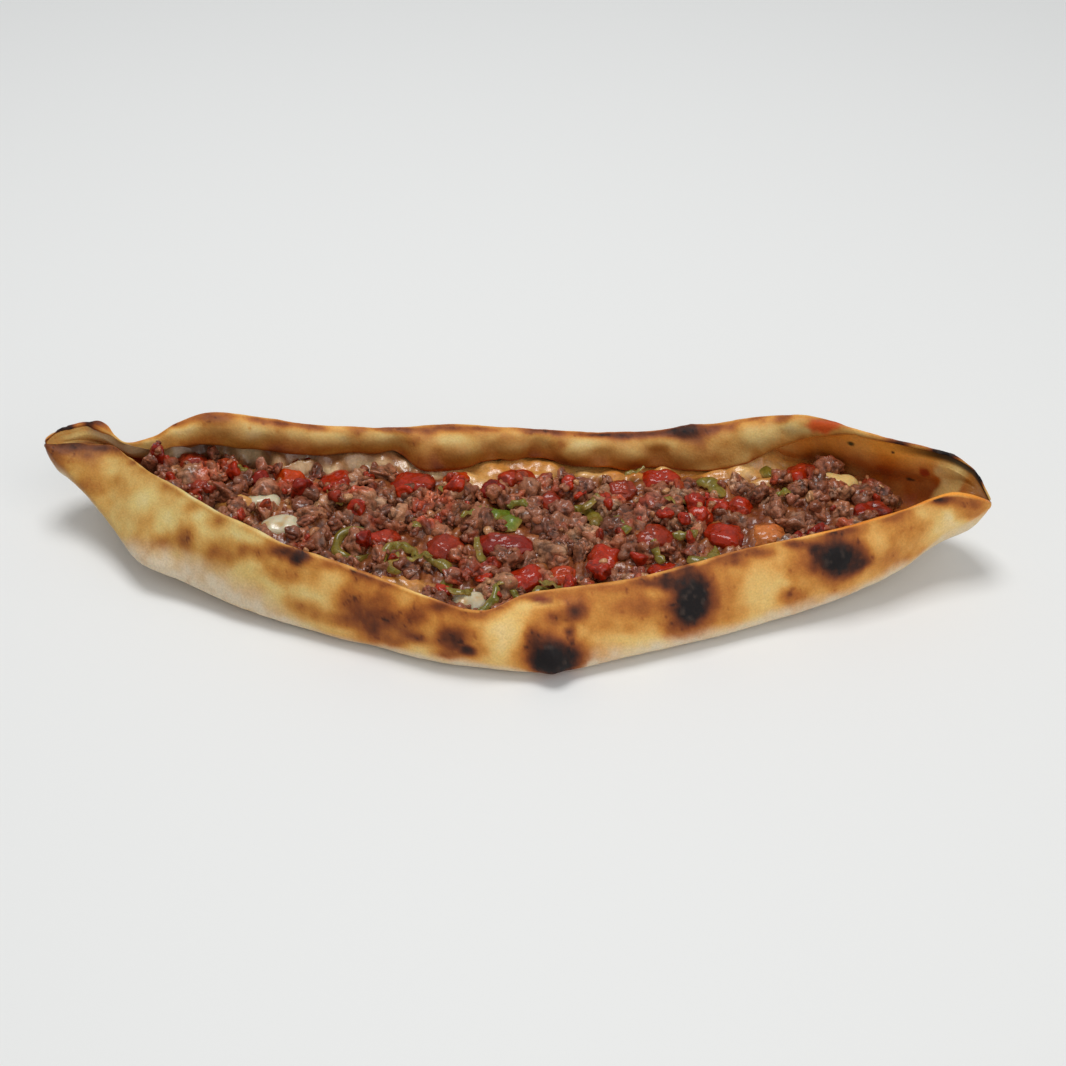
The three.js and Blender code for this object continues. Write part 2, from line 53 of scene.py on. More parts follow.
# ---- the bread's sizes and driving curves, as in the solid model ----
HALF_LENGTH = 194.5
TIP_RADIUS = 8
TIP_TRIM = 0.4
RIM_THICKNESS = 2.8
WALL_THICKNESS = 4.6
FLOOR_THICKNESS = 5.6
FLAP_THICKNESS = 3.4
CORNER_INSET = 15
CORNER_RISE = 6
WALL_BULGE = 2.6
CREST_ROUND = 3.4
EDGE_ROUND = 1.7
EDGE_THICKNESS = 0.5
EDGE_SHARE = 0.75
FULL_FLAP_REACH = 5
SLOT_FILL_LENGTH = 26
SLOT_SAG = 2.5
# Curves are lists of [distance along, value].
LIFT = [[-194, 28], [-180, 20], [-160, 12], [-140, 7], [-110, 3], [-80, 0.5], [-66, 0],
        [82, 0], [100, 0.5], [130, 3], [160, 8], [180, 14], [194, 21]]
FRONT_FOOT = [[-194, 24], [-184, 20], [-165, 4], [-146, -17.5], [-130, -24], [-90, -41],
              [-50, -53], [-15, -63], [15, -66], [50, -55.5], [100, -35.5], [135, -21.5],
              [160, -7], [178, 6], [194, 11]]
FRONT_RIM = [[-194, 30], [-168, 30.5], [-157, 22], [-147, 12], [-130, -2], [-100, -22],
             [-60, -39], [-30, -51], [-8, -58], [9, -51], [50, -42], [100, -22],
             [135, -12.5], [160, -1.5], [178, 6], [194, 8.5]]
FRONT_TOP = [[-194, 37], [-180, 36], [-147, 37], [-110, 36], [-80, 32.5], [-40, 29],
             [-5, 26.5], [12, 29.5], [74, 31], [100, 33], [130, 35.5], [160, 38],
             [176, 39.5], [186, 37], [194, 33]]
BACK_FOOT = [[-194, 37], [-184, 44], [-168, 46], [-150, 45], [-125, 49], [-90, 54],
             [-40, 64], [10, 68], [60, 68], [100, 65], [125, 60], [150, 47], [170, 38],
             [185, 30], [194, 22]]
BACK_CREST = [[-194, 33], [-186, 36], [-178, 40], [-170, 38], [-160, 34], [-150, 37],
              [-130, 41.5], [-100, 44.5], [-50, 53], [0, 57.5], [50, 56.5], [80, 58.5],
              [108, 57], [122, 53], [150, 37.5], [171, 29], [182, 24], [194, 14]]
BACK_TOP = [[-194, 39], [-186, 41], [-174, 40.5], [-160, 35.5], [-150, 36.7], [-140, 42],
            [-126, 46], [-108, 43], [-80, 36.5], [-40, 33], [0, 31.5], [50, 31], [80, 34],
            [108, 40.5], [130, 44.5], [176, 46], [186, 43.5], [194, 36]]
FLAP_REACH = [[-160, 0], [-143, 3], [-125, 6.5], [-90, 5.5], [-52, 3.5], [-35, 14],
              [-12, 8], [10, 5], [30, 10], [60, 7], [84, 11], [98, 10], [112, 5.5], [142, 0]]
FLAP_DROP = [[-160, 0], [-143, 6], [-120, 8], [-60, 7], [-35, 9], [40, 8], [86, 12],
             [98, 11], [112, 8], [142, 0]]
FILLING_START, FILLING_END = -151, 160
FILLING_TOP = [[-152, 24], [-142, 27.5], [-120, 26], [-80, 22.5], [-30, 19.5], [10, 19],
               [60, 20], [110, 22.5], [140, 25], [150, 24], [161, 18]]


# ---- small helpers ----
def mix(a, b, share):
    return a + (b - a) * share


def smooth(value, low, high):
    """Smooth step from 0 at low to 1 at high."""
    t = np.clip((np.asarray(value, float) - low) / (high - low), 0, 1)
    return t * t * (3 - 2 * t)


def fade(value, low, high):
    """Smooth step from 1 at low to 0 at high."""
    return 1 - smooth(value, low, high)


def between(value, rise, fall):
    """1 between two smooth steps, each given as (from, to), and 0 outside them."""
    return smooth(value, *rise) * fade(value, *fall)


def hill(value, middle, width):
    """Round hill, 1 in the middle."""
    return np.exp(-(((value - middle) / width) ** 2))


def along(keys, x):
    """Value of a key curve at x, by monotone cubic interpolation."""
    xs, ys = np.array(keys, float).T
    spans = np.diff(xs)
    slopes = np.diff(ys) / spans
    tangents = np.concatenate([slopes[:1], np.zeros(len(xs) - 2), slopes[-1:]])
    before, after = slopes[:-1], slopes[1:]
    same = before * after > 0
    tangents[1:-1][same] = 2 * before[same] * after[same] / (before[same] + after[same])
    x = np.clip(np.asarray(x, float), xs[0], xs[-1])
    i = np.clip(np.searchsorted(xs, x) - 1, 0, len(spans) - 1)
    t = (x - xs[i]) / spans[i]
    rest = 1 - t
    return (ys[i] * rest * rest * (1 + 2 * t) + ys[i + 1] * t * t * (3 - 2 * t)
            + spans[i] * t * rest * (tangents[i] * rest - tangents[i + 1] * t))


HASH = np.array([374761393, 668265263, 1103515245])


def noise(points, size, seed):
    """Smooth repeatable noise from -1 to 1 at the points, with lumps about size across."""
    q = np.asarray(points, float) / size
    cell = np.floor(q).astype(np.int64)
    f = q - cell
    f = f * f * f * (f * (f * 6 - 15) + 10)
    total = 0
    for corner in range(8):
        bits = [corner >> k & 1 for k in range(3)]
        n = (cell + bits) @ HASH + seed * 97531
        n = ((n ^ (n >> 13)) & 0xFFFFFFFF) * 1274126177
        value = ((n ^ (n >> 16)) & 0xFFFF) / 0x7FFF - 1
        weight = 1
        for k in range(3):
            weight = weight * (f[..., k] if bits[k] else 1 - f[..., k])
        total = total + value * weight
    return total


def layered(points, size, seed, layers=3):
    """Noise with finer and weaker layers on top, about -1 to 1."""
    return sum(noise(points, size / 2 ** k, seed + k) / 2 ** k for k in range(layers)) / 1.5


def palette(levels, value):
    """Colour at value from a list of (level, red, green, blue)."""
    table = np.array(levels, float)
    return np.stack([np.interp(value, table[:, 0], table[:, k]) for k in (1, 2, 3)], -1)


def unit(vector):
    """The vector, or each row of vectors, at length 1."""
    return vector / np.linalg.norm(vector, axis=-1, keepdims=True)


def blend(tint, colour, share):
    """The tint with a share of another colour mixed in at each point."""
    return mix(tint, np.array(colour), share[..., None])


def tinged(tint, factors, share):
    """The tint multiplied by three factors, by a share from 0 to 1 at each point."""
    return tint * mix(1, np.array(factors), share[..., None])


# ---- meshes ----
def box_of(name):
    """Middle and half sizes of a node's box."""
    low, high = (np.array(corner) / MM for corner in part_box(name))
    return (low + high) / 2, (high - low) / 2


def make_piece(name, points, faces, material, tint, gloss):
    """A smooth mesh with a colour and a roughness at each point, riding on the one body."""
    mesh = bpy.data.meshes.new(name)
    mesh.from_pydata(points.reshape(-1, 3) * MM, [], faces, False)
    colours = np.concatenate([np.clip(tint, 0, 1), np.ones(tint.shape[:-1] + (1,))], -1)
    gloss = np.broadcast_to(gloss, points.shape[:-1]).astype(np.float32)
    shown = mesh.color_attributes.new("tint", "FLOAT_COLOR", "POINT")
    shown.data.foreach_set("color", colours.ravel())
    mesh.attributes.new("gloss", "FLOAT", "POINT").data.foreach_set("value", gloss.ravel())
    mesh.materials.append(material)
    piece = bpy.data.objects.new(name, mesh)
    bpy.context.scene.collection.objects.link(piece)
    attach(piece, "root")
    return piece


def ball(level):
    """Points and triangles of a unit ball."""
    shape = bmesh.new()
    bmesh.ops.create_icosphere(shape, subdivisions=level, radius=1)
    points = np.array([v.co for v in shape.verts])
    faces = np.array([[v.index for v in f.verts] for f in shape.faces])
    shape.free()
    return points, faces


def neighbours(count, faces):
    """For each point the six or five points that share a triangle with it, and itself."""
    near = [{i} for i in range(count)]
    for a, b, c in faces:
        near[a].update((b, c))
        near[b].update((a, c))
        near[c].update((a, b))
    return np.array([(sorted(s) + [i] * 7)[:7] for i, s in enumerate(near)])


def repeated(faces, shapes):
    """Faces for all copies of one mesh in shapes, [copy, point, xyz]."""
    count, size = shapes.shape[:2]
    return (faces[None] + np.arange(count)[:, None, None] * size).reshape(-1, faces.shape[1])


def grid_faces(rows, columns, closed):
    """Four-sided faces of a grid of points; closed joins its last column to the first."""
    across = columns if closed else columns - 1
    i, j = np.meshgrid(np.arange(rows - 1), np.arange(across), indexing="ij")
    a, b = i * columns + j, i * columns + (j + 1) % columns
    return np.stack([a, a + columns, b + columns, b], -1).reshape(-1, 4)


# ---- materials ----
def food_material(name, bumps, mottling, subsurface, depth, coat=0.0, shine=0.5):
    """A material with its colour and roughness from the mesh, mottled and finely bumped.

    bumps is a list of (size, height) in millimetres, mottling is (size, share of the colour),
    and depth is how far light goes under the surface, in millimetres.
    """
    made = bpy.data.materials.new(name)
    made.use_nodes = True
    nodes, link = made.node_tree.nodes, made.node_tree.links.new
    shader = nodes["Principled BSDF"]
    place = nodes.new("ShaderNodeTexCoord").outputs["Object"]

    def noise_node(size, detail):
        node = nodes.new("ShaderNodeTexNoise")
        node.inputs["Scale"].default_value = 1 / (size * MM)
        node.inputs["Detail"].default_value = detail
        link(place, node.inputs["Vector"])
        return node.outputs["Fac"]

    tint = nodes.new("ShaderNodeAttribute")
    tint.attribute_name = "tint"
    spread, share = mottling
    strength = nodes.new("ShaderNodeMapRange")
    limits = {"From Min": 0.3, "From Max": 0.7, "To Min": 1 - share, "To Max": 1 + share}
    for socket, value in limits.items():
        strength.inputs[socket].default_value = value
    link(noise_node(spread, 3), strength.inputs["Value"])
    scaled = nodes.new("ShaderNodeVectorMath")
    scaled.operation = "SCALE"
    link(tint.outputs["Color"], scaled.inputs[0])
    link(strength.outputs["Result"], scaled.inputs["Scale"])
    link(scaled.outputs["Vector"], shader.inputs["Base Color"])

    gloss = nodes.new("ShaderNodeAttribute")
    gloss.attribute_name = "gloss"
    link(gloss.outputs["Fac"], shader.inputs["Roughness"])
    normal = None
    for size, height in bumps:
        bump = nodes.new("ShaderNodeBump")
        bump.inputs["Distance"].default_value = height * MM
        link(noise_node(size, 2), bump.inputs["Height"])
        if normal:
            link(normal, bump.inputs["Normal"])
        normal = bump.outputs["Normal"]
    link(normal, shader.inputs["Normal"])
    constants = {
        "Subsurface Weight": subsurface, "Subsurface Scale": depth * MM,
        "Subsurface Radius": (1.0, 0.45, 0.25), "Specular IOR Level": shine,
        "Coat Weight": coat, "Coat Roughness": 0.12,
    }
    for socket, value in constants.items():
        shader.inputs[socket].default_value = value
    return made


# ---- the bread's cross-section ----
SKIN_END = 15


def pair(y, z):
    return np.stack([y, z], -1)


def wall_point(foot, top, share, bulge):
    """Point on a wall that leans from its foot to its top and bulges to one side."""
    d = top - foot
    size = np.hypot(d[..., 0], d[..., 1])[..., None]
    push = bulge * math.sin(math.pi * share)
    return foot + d * share + pair(-d[..., 1], d[..., 0]) / size * push


def outer_controls(x):
    """Control points of the outer skin, from the front rim under the bread to the flap's edge."""
    low, front, back = along(LIFT, x), along(FRONT_FOOT, x), along(BACK_FOOT, x)
    inset = np.minimum(CORNER_INSET, 0.34 * (back - front))
    rise = CORNER_RISE + 0.25 * (CORNER_INSET - inset)
    rim = pair(along(FRONT_RIM, x), along(FRONT_TOP, x))
    crest = pair(along(BACK_CREST, x), along(BACK_TOP, x))
    front_foot, back_foot = pair(front, low + rise), pair(back, low + rise)
    reach, drop = along(FLAP_REACH, x), along(FLAP_DROP, x)
    curl = mix(EDGE_ROUND, CREST_ROUND, smooth(reach, 0, FULL_FLAP_REACH))
    top = [
        crest + pair(curl, -1.3 * curl),
        crest,
        crest - pair(0.6 * reach + 0.45 * curl, 0.22 * drop + 0.12 * curl),
        crest - pair(reach + 0.6 * curl, drop + 0.5 * curl),
    ]
    return np.stack([
        rim,
        wall_point(front_foot, rim, 0.66, WALL_BULGE),
        wall_point(front_foot, rim, 0.33, WALL_BULGE),
        front_foot,
        pair(front + 0.26 * inset, low + 0.24 * rise),
        pair(front + inset, low),
        pair((front + back) / 2, low),
        pair(back - inset, low),
        pair(back - 0.26 * inset, low + 0.24 * rise),
        back_foot,
        wall_point(back_foot, crest, 0.33, -WALL_BULGE),
        mix(top[0], back_foot, 0.35),
        *top,
    ], 1)


def outer_skin(x, u):
    """Points of the outer skin, [station, u, yz], on a smooth curve through the controls."""
    controls = outer_controls(x)
    i = np.clip(np.floor(u).astype(int), 0, SKIN_END - 1)
    t = (u - i)[None, :, None]
    p = [controls[:, np.clip(i + k, 0, SKIN_END)] for k in (-1, 0, 1, 2)]
    v0, v1 = (p[2] - p[0]) / 2, (p[3] - p[1]) / 2
    out = ((2 * p[1] - 2 * p[2] + v0 + v1) * t ** 3
           + (-3 * p[1] + 3 * p[2] - 2 * v0 - v1) * t ** 2 + v0 * t + p[1])
    out[..., 1] = np.maximum(out[..., 1], along(LIFT, x)[:, None])
    return out


def thickness_at(x, u):
    """Thickness of the dough at [station, u]: thin at both edges, thick in the floor."""
    u = np.asarray(u, float)[None, :]
    folded = smooth(along(FLAP_REACH, x), 0, FULL_FLAP_REACH)[:, None]
    edge = mix(EDGE_THICKNESS, RIM_THICKNESS, folded)
    t = mix(RIM_THICKNESS, WALL_THICKNESS, smooth(u, 0, 2))
    t = np.where(u > 3, mix(WALL_THICKNESS, FLOOR_THICKNESS, smooth(u, 3, 5)), t)
    t = np.where(u > 7, mix(FLOOR_THICKNESS, FLAP_THICKNESS, smooth(u, 7, 12)), t)
    return np.where(u > 12, mix(FLAP_THICKNESS, edge, smooth(u, 12, 15)), t + 0 * folded)


def inset_skin(x, u):
    """The outer skin moved inwards by the thickness of the dough."""
    u = np.asarray(u, float)
    d = outer_skin(x, np.minimum(u + 0.3, SKIN_END)) - outer_skin(x, np.maximum(u - 0.3, 0))
    return outer_skin(x, u) + unit(pair(-d[..., 1], d[..., 0])) * thickness_at(x, u)[..., None]


def bend(a, b, c, t):
    """Quadratic curve from a to c, drawn towards b."""
    a, b, c, t = a[:, None], b[:, None], c[:, None], np.asarray(t)[None, :, None]
    return a * (1 - t) ** 2 + b * 2 * t * (1 - t) + c * t * t


def inside_corner(wall_end, higher, floor_end, limit):
    """Where the inner face of a leaning wall would meet the level of the floor."""
    d = wall_end - higher
    share = (floor_end[:, 1] - wall_end[:, 1]) / np.minimum(d[:, 1], -0.05)
    y = wall_end[:, 0] + d[:, 0] * share
    low, high = np.minimum(limit, floor_end[:, 0]), np.maximum(limit, floor_end[:, 0])
    return pair(np.clip(y, low, high), floor_end[:, 1])


def inner_skin(x, u):
    """Points of the inner skin, [station, u, yz], with plain bends and filled tips."""
    inner = inset_skin(x, u)
    key = inset_skin(x, [1.5, 2, 5, 7, 10, 10.5, 11.5, SKIN_END]).transpose(1, 0, 2)
    front = inside_corner(key[1], key[0], key[2], along(FRONT_FOOT, x) + WALL_THICKNESS)
    back = inside_corner(key[4], key[5], key[3], along(BACK_FOOT, x) - WALL_THICKNESS)
    fold_middle = (key[6] + key[7]) / 2
    under_crest = along(BACK_TOP, x) - FLAP_THICKNESS - 0.1 * along(FLAP_DROP, x)
    folded = smooth(along(FLAP_REACH, x), 0, FULL_FLAP_REACH)
    peak = fold_middle + pair(0 * x, folded * 2 * (under_crest - fold_middle[:, 1]))
    for low, high, a, b, c in ((2, 5, key[1], front, key[2]), (7, 10, key[3], back, key[4]),
                               (11.5, SKIN_END, key[6], peak, key[7])):
        here = (u >= low) & (u <= high)
        inner[:, here] = bend(a, b, c, (u[here] - low) / (high - low))
    s = np.linspace(0, 1, len(u))[None, :, None]
    line = mix(inner[:, :1], inner[:, -1:], s)
    line[..., 1] -= SLOT_SAG * 4 * s[..., 0] * (1 - s[..., 0])
    fill = smooth(np.abs(x), HALF_LENGTH - SLOT_FILL_LENGTH, HALF_LENGTH - 4)[:, None, None]
    return mix(inner, line, fill)


def skin_steps(spans):
    """Places on the skin, from spans of (from, to, steps)."""
    parts = [np.linspace(a, b, n, endpoint=False) for a, b, n in spans]
    return np.concatenate([*parts, [SKIN_END]])


OUTER = skin_steps([(0, 3, 26), (3, 5, 8), (5, 7, 8), (7, 9, 6), (9, 12, 20), (12, 15, 24)])
INNER = skin_steps([(0, 3, 14), (3, 5, 5), (5, 7, 5), (7, 9, 5), (9, 12, 20), (12, 15, 15)])
EDGE_POINTS = 4
STATIONS = 560


def round_edge(outer, inner, next_outer):
    """Points round a free edge, from the outer skin's end to the inner skin's."""
    middle, half = (outer + inner) / 2, (outer - inner) / 2
    proud = unit(outer - next_outer) * np.linalg.norm(half, axis=-1, keepdims=True) * EDGE_SHARE
    angles = np.pi * np.arange(1, EDGE_POINTS + 1) / (EDGE_POINTS + 1)
    return np.stack([middle + half * math.cos(a) + proud * math.sin(a) for a in angles], 1)


def bread_rings():
    """The bread's surface, [station, place in the ring, xyz], before any relief."""
    half = HALF_LENGTH - TIP_TRIM
    s = np.linspace(-1, 1, STATIONS)
    x = half * mix(s, np.sin(np.pi / 2 * s), 0.35)
    outer, inner = outer_skin(x, OUTER), inner_skin(x, INNER)
    ring = np.concatenate([
        outer, round_edge(outer[:, -1], inner[:, -1], outer[:, -2]),
        inner[:, ::-1], round_edge(outer[:, 0], inner[:, 0], outer[:, 1])[:, ::-1],
    ], 1)
    past = np.maximum(0, np.abs(x) - (HALF_LENGTH - TIP_RADIUS)) / TIP_RADIUS
    shrink = np.sqrt(1 - past * past)[:, None, None]
    ring = mix(ring.mean(1, keepdims=True), ring, shrink)
    xs = np.broadcast_to(x[:, None, None], ring.shape[:2] + (1,))
    return np.concatenate([xs, ring], -1)


# The place on the skin of each point of a ring, and 0, 0.5 or 1 outside, on an edge or inside.
EDGE = np.ones(EDGE_POINTS)
RING_U = np.concatenate([OUTER, SKIN_END * EDGE, INNER[::-1], 0 * EDGE])[None]
IS_INNER = np.concatenate([0 * OUTER, 0.5 * EDGE, 0 * INNER + 1, 0.5 * EDGE])[None]

# The rings are moved to where the solid bread stands.
rings = bread_rings()
SHIFT = box_of("bread")[0] - (rings.min((0, 1)) + rings.max((0, 1))) / 2
SHIFT[0] = 0
rings = rings + SHIFT


def filling_top(x, y):
    """Height of the filling's top: sunk towards the walls and a little uneven."""
    y = y - SHIFT[1]
    front, back = along(FRONT_RIM, x), along(BACK_CREST, x)
    half = np.maximum(6, (back - front) / 2)
    across = np.minimum(1, np.abs(y - (front + back) / 2) / half)
    waves = 0.9 * np.sin(x / 13 + 1.3) * np.cos(y / 11) + 0.6 * np.sin(x / 7 - y / 9)
    return along(FILLING_TOP, x) + 1.5 - 3.5 * across * across + waves + SHIFT[2]


# ---- the bread's relief ----
# Blisters and bulges on the outside: (x, u, half length, half height, how proud).
BLISTERS = [
    (21, 2.55, 9, 8, 3), (73, 1.1, 11, 11, 0.9), (130, 0.9, 11, 8, 1), (76, 13.3, 11, 4, 1.3),
    (-21, 14.2, 12, 7, 1.6), (102, 14.2, 11, 6, 1.6), (-120, 14, 9, 5, 1), (-66, 13.9, 14, 5, 0.9),
    (-8, 13.9, 10, 4, 0.9), (34, 13.9, 13, 5, 1), (-172, 14, 5, 4, 1.6), (-125, 1.3, 12, 8, 0.8),
    (-30, 1.4, 20, 9, 0.8), (150, 1.5, 16, 8, 0.8), (60, 13.8, 8, 4, 0.8), (-100, 14, 8, 4, 0.8),
    (28, 0.85, 6, 5, 1), (-75, 0.4, 7, 4, 0.7), (44, 0.35, 5, 3, 0.5), (-181, 0.3, 10, 3, 0.8),
    (-20, 14.5, 9, 7, 2.8), (0, 14.5, 7, 6, 2.4), (26, 14.5, 9, 6, 2.8), (50, 14.5, 8, 6, 2.8),
    (-46, 14.5, 9, 6, -0.9), (12, 14.5, 6, 5, -0.9), (39, 14.5, 5, 5, -0.8), (62, 14.5, 5, 5, -0.8),
    (74, 14.4, 9, 6, 1.6), (-58, 14.5, 8, 6, 1.8), (-80, 14.4, 8, 6, 1.8), (-112, 14.5, 8, 6, 1.6),
    (119, 13.9, 8, 5, 1.2),
]


def spot_distance(points, spot, warp):
    """Distance from a spot on the outer skin, 1 at its uneven outline."""
    x, u, half_length, half_height = spot
    centre = outer_skin(np.array([x], float), np.array([u], float))[0, 0] + SHIFT[1:]
    along_x = (points[..., 0] - x) / half_length
    across = np.linalg.norm(points[..., 1:] - centre, axis=-1) / half_height
    return np.hypot(along_x, across) * (1 + warp)


def surface_normals(grid):
    """Outward unit normals of a grid of rings."""
    round_ring = np.roll(grid, -1, 1) - np.roll(grid, 1, 1)
    return unit(np.cross(round_ring, np.gradient(grid, axis=0)))


def bread_relief(points):
    """How far each point of the bread stands proud, in millimetres."""
    outside = 1 - IS_INNER
    height = 0.75 * noise(points, 27, 1) + 0.38 * noise(points, 12, 2)
    height = height + 0.16 * layered(points, 4.5, 3)
    warp = 0.25 * noise(points, 9, 4)
    for *spot, proud in BLISTERS:
        d = spot_distance(points, spot, warp)
        height = height + proud * fade(d, 0.2, 1.2) * np.clip(outside * 2, 0, 1)
    crackle = 0.5 * layered(points, 2.6, 5) + 0.3
    for *spot, level in SPOTS:
        if level > CRACKLED:
            d = spot_distance(points, spot, warp)
            height = height + crackle * fade(d, 0.2, 1) * outside
    underside = (RING_U > 3.6) & (RING_U < 8.4) & (IS_INNER == 0)
    z = points[..., 2]
    height = height * np.where(underside, smooth(z, 0.5, 5), 1)
    return height * mix(0.35, 1, smooth(z, 0, 6))


# ---- the bread's colours ----
# Spots baked above this level are crackled.
CRACKLED = 0.97
# Browned and charred spots on the outside: (x, u, half length, half height, level).
SPOTS = [
    (-188, 1.4, 8, 10, 0.72), (-184, 0.35, 12, 4.6, 0.86), (-170, 0.25, 15, 4.6, 0.85),
    (-175, 0.8, 8, 4, 0.74), (-172, 2.4, 9, 5, 0.6), (-154, 0.1, 7, 2.6, 0.72),
    (-161, 1.3, 5, 4, 0.5), (-137, 2.05, 8, 4, 0.62), (-148, 2.6, 6, 4, 0.5),
    (-124, 0.3, 8, 3, 0.56), (-112, 0.3, 8, 4, 0.62), (-126, 1.5, 8, 7, 0.8),
    (-113, 1.4, 8, 5, 0.66), (-103, 0.9, 9, 4.5, 0.48), (-85, 0.3, 13, 4.4, 0.88),
    (-78, 0.35, 7, 4.4, 1.03), (-66, 0.2, 8, 3, 0.66), (-80, 1, 13, 5, 0.62),
    (-78, 2.2, 12, 5, 0.6), (-62, 2.3, 10, 4, 0.58), (-56, 1.3, 10, 8, 0.78),
    (-43, 1.5, 11, 9, 0.82), (-32, 1.1, 10, 9, 0.82), (-30, 2, 12, 5, 0.8), (-18, 1.6, 11, 8, 0.87),
    (-40, 2.6, 12, 4, 0.74), (-45, 0.8, 11, 5, 0.76), (-23, 0.3, 16, 4.4, 0.82),
    (-20, 2.6, 9, 4, 0.74), (-8, 0.2, 9, 3.4, 0.72), (-11, 2.1, 2.4, 2.2, 0.95),
    (-52, 0.2, 12, 3, 0.48), (12, 0.15, 8, 2.4, 0.74), (29, 0.9, 8, 6, 0.86), (21, 1, 8, 6, 0.8),
    (26, 0.35, 12, 3.4, 0.66), (27, 1.6, 4, 3, 0.76), (46, 0.3, 15, 3, 0.66),
    (56, 0.25, 14, 3.4, 0.82), (41, 1.5, 8, 5, 0.55), (44, 0.9, 13, 6, 0.53), (55, 1.1, 9, 8, 0.68),
    (50, 1.9, 10, 4, 0.5), (73.5, 1.4, 13, 17, 1.14), (88, 1.4, 7, 10, 0.58), (89, 0.3, 9, 4, 0.78),
    (100, 0.28, 16, 3.4, 0.8), (115, 0.25, 9, 2.8, 0.84), (115, 1, 8, 6, 0.6),
    (130, 1.1, 12, 11, 1.12), (138, 1.7, 8, 6, 0.92), (122, 0.6, 5, 3.6, 0.95),
    (21, 2.55, 13.5, 11, 1.14), (112, 2.2, 4.5, 3.6, 0.72), (135, 0.2, 10, 2.6, 0.74),
    (150, 2, 12, 5, 0.58), (155, 0.2, 14, 2.6, 0.7), (162, 1, 10, 5, 0.56), (160, 2.5, 8, 4, 0.58),
    (172, 0.12, 13, 3.4, 0.93), (186, 0.5, 11, 5, 0.72), (186, 1.4, 8, 5, 0.56),
    (-126, 13.5, 9, 4, 0.76), (-140, 13.3, 9, 2, 0.72), (-106, 13.3, 10, 2.2, 0.74),
    (-186, 14, 9, 3.4, 0.99), (-176, 14, 6, 3.6, 0.96), (-86, 13.2, 18, 2, 0.76),
    (-47, 13.3, 16, 2.2, 0.76), (-66, 13.7, 5, 3, 0.66), (-16, 13.3, 10, 2, 0.78),
    (13, 13.2, 15, 2.2, 0.82), (38, 13.3, 12, 2.4, 0.93), (60, 13.4, 9, 2.6, 0.84),
    (74, 13.45, 12, 6, 0.98), (-109, 14.05, 1.3, 1.3, 0.95), (-98, 13.95, 1.2, 1.2, 0.9),
    (-42, 14, 5, 3, 0.64), (-2, 14, 7, 3, 0.56), (20, 14.2, 8, 3, 0.6), (62, 14.2, 9, 3, 0.58),
    (90, 14.2, 8, 4, 0.46), (114, 13.35, 6, 2.6, 0.72), (103, 13.1, 10, 2, 0.74),
    (131, 13.6, 8, 2.6, 0.8), (159, 14.5, 12, 3.4, 0.9), (176, 14.2, 13, 4.4, 1.14),
    (189, 14, 10, 5, 1.14), (-60, 10.5, 26, 9, 0.78), (20, 10.2, 22, 8, 0.82),
    (96, 10.6, 24, 9, 0.8), (56, 11.6, 11, 7, 1.04), (-104, 11.4, 10, 7, 1),
    (140, 10.6, 12, 8, 0.86), (-20, 6, 30, 22, 0.74), (58, 5.6, 26, 20, 0.8),
    (-88, 6.2, 20, 14, 0.76), (108, 6.4, 20, 12, 0.74),
]
# Pale places on the outside, where the dough took less heat: (x, u, half length, half height, share).
# Those at u 14.3 to 14.7, on the bulges of the flap's lip, are painted highlights on the bulges'
# tops.
PALE = [
    (4, 1.6, 10, 13, 0.9), (-92, 1.5, 10, 6, 0.3), (-148, 1.1, 12, 7, 0.7), (-104, 1.8, 7, 6, 0.5),
    (101, 1.5, 8, 8, 0.6), (147, 1.2, 6, 6, 0.4), (44, 2.2, 8, 4, 0.4), (174, 2.2, 9, 5, 0.5),
    (-158, 14.2, 13, 7, 1), (-138, 14, 8, 4, 0.8), (-90, 13.9, 9, 3, 0.6), (-26, 13.9, 10, 5, 0.8),
    (30, 13.9, 8, 3.5, 0.7), (102, 14.2, 9, 6, 0.95), (6, 13.6, 7, 3, 0.6), (54, 13.9, 6, 3, 0.5),
    (119, 14.1, 8, 5, 0.85), (-22, 14.7, 12, 5, 0.8), (68, 13.95, 9, 3, 0.6), (88, 14, 8, 5, 0.8),
    (1, 14.3, 7, 4, 0.6), (27, 14.3, 7, 4, 0.6), (52, 14.3, 7, 4, 0.7), (-58, 14.2, 7, 3, 0.5),
    (-80, 14.1, 8, 3, 0.5),
]
# Dabs of sauce and burnt scraps: (x, y, z, half length, half height, red, green, blue).
DABS = [(129.5, 45.2, 43.2, 8, 3.4, 0.5, 0.07, 0.006), (170.4, 29, 32.9, 2.8, 3.6, 0.34, 0.045, 0.01),
        (141, 41, 38.4, 2.2, 1.6, 0.06, 0.045, 0.01), (165.5, 34, 25.6, 4.5, 1, 0.05, 0.03, 0.015),
        (157, 33, 40, 1, 1, 0.06, 0.03, 0.01), (-150, 30, 30, 5, 3, 0.42, 0.13, 0.03),
        (16, -53, 28.5, 5, 2, 0.22, 0.04, 0.015)]
# Baking colours from pale dough to char.
BAKE = [
    (0, 0.84, 0.63, 0.31), (0.18, 0.8, 0.52, 0.17), (0.36, 0.72, 0.36, 0.088),
    (0.5, 0.59, 0.243, 0.042), (0.64, 0.43, 0.133, 0.02), (0.78, 0.21, 0.047, 0.008),
    (0.89, 0.06, 0.014, 0.005), (1, 0.008, 0.005, 0.005),
]
FLOUR = (0.72, 0.61, 0.45)
ASH = (0.085, 0.055, 0.042)
CREAM = np.array([0.84, 0.64, 0.36])
TAN = (0.62, 0.36, 0.14)
OILY_DOUGH = [(0, 0.32, 0.045, 0.002), (0.5, 0.62, 0.165, 0.01), (1, 0.86, 0.32, 0.036)]


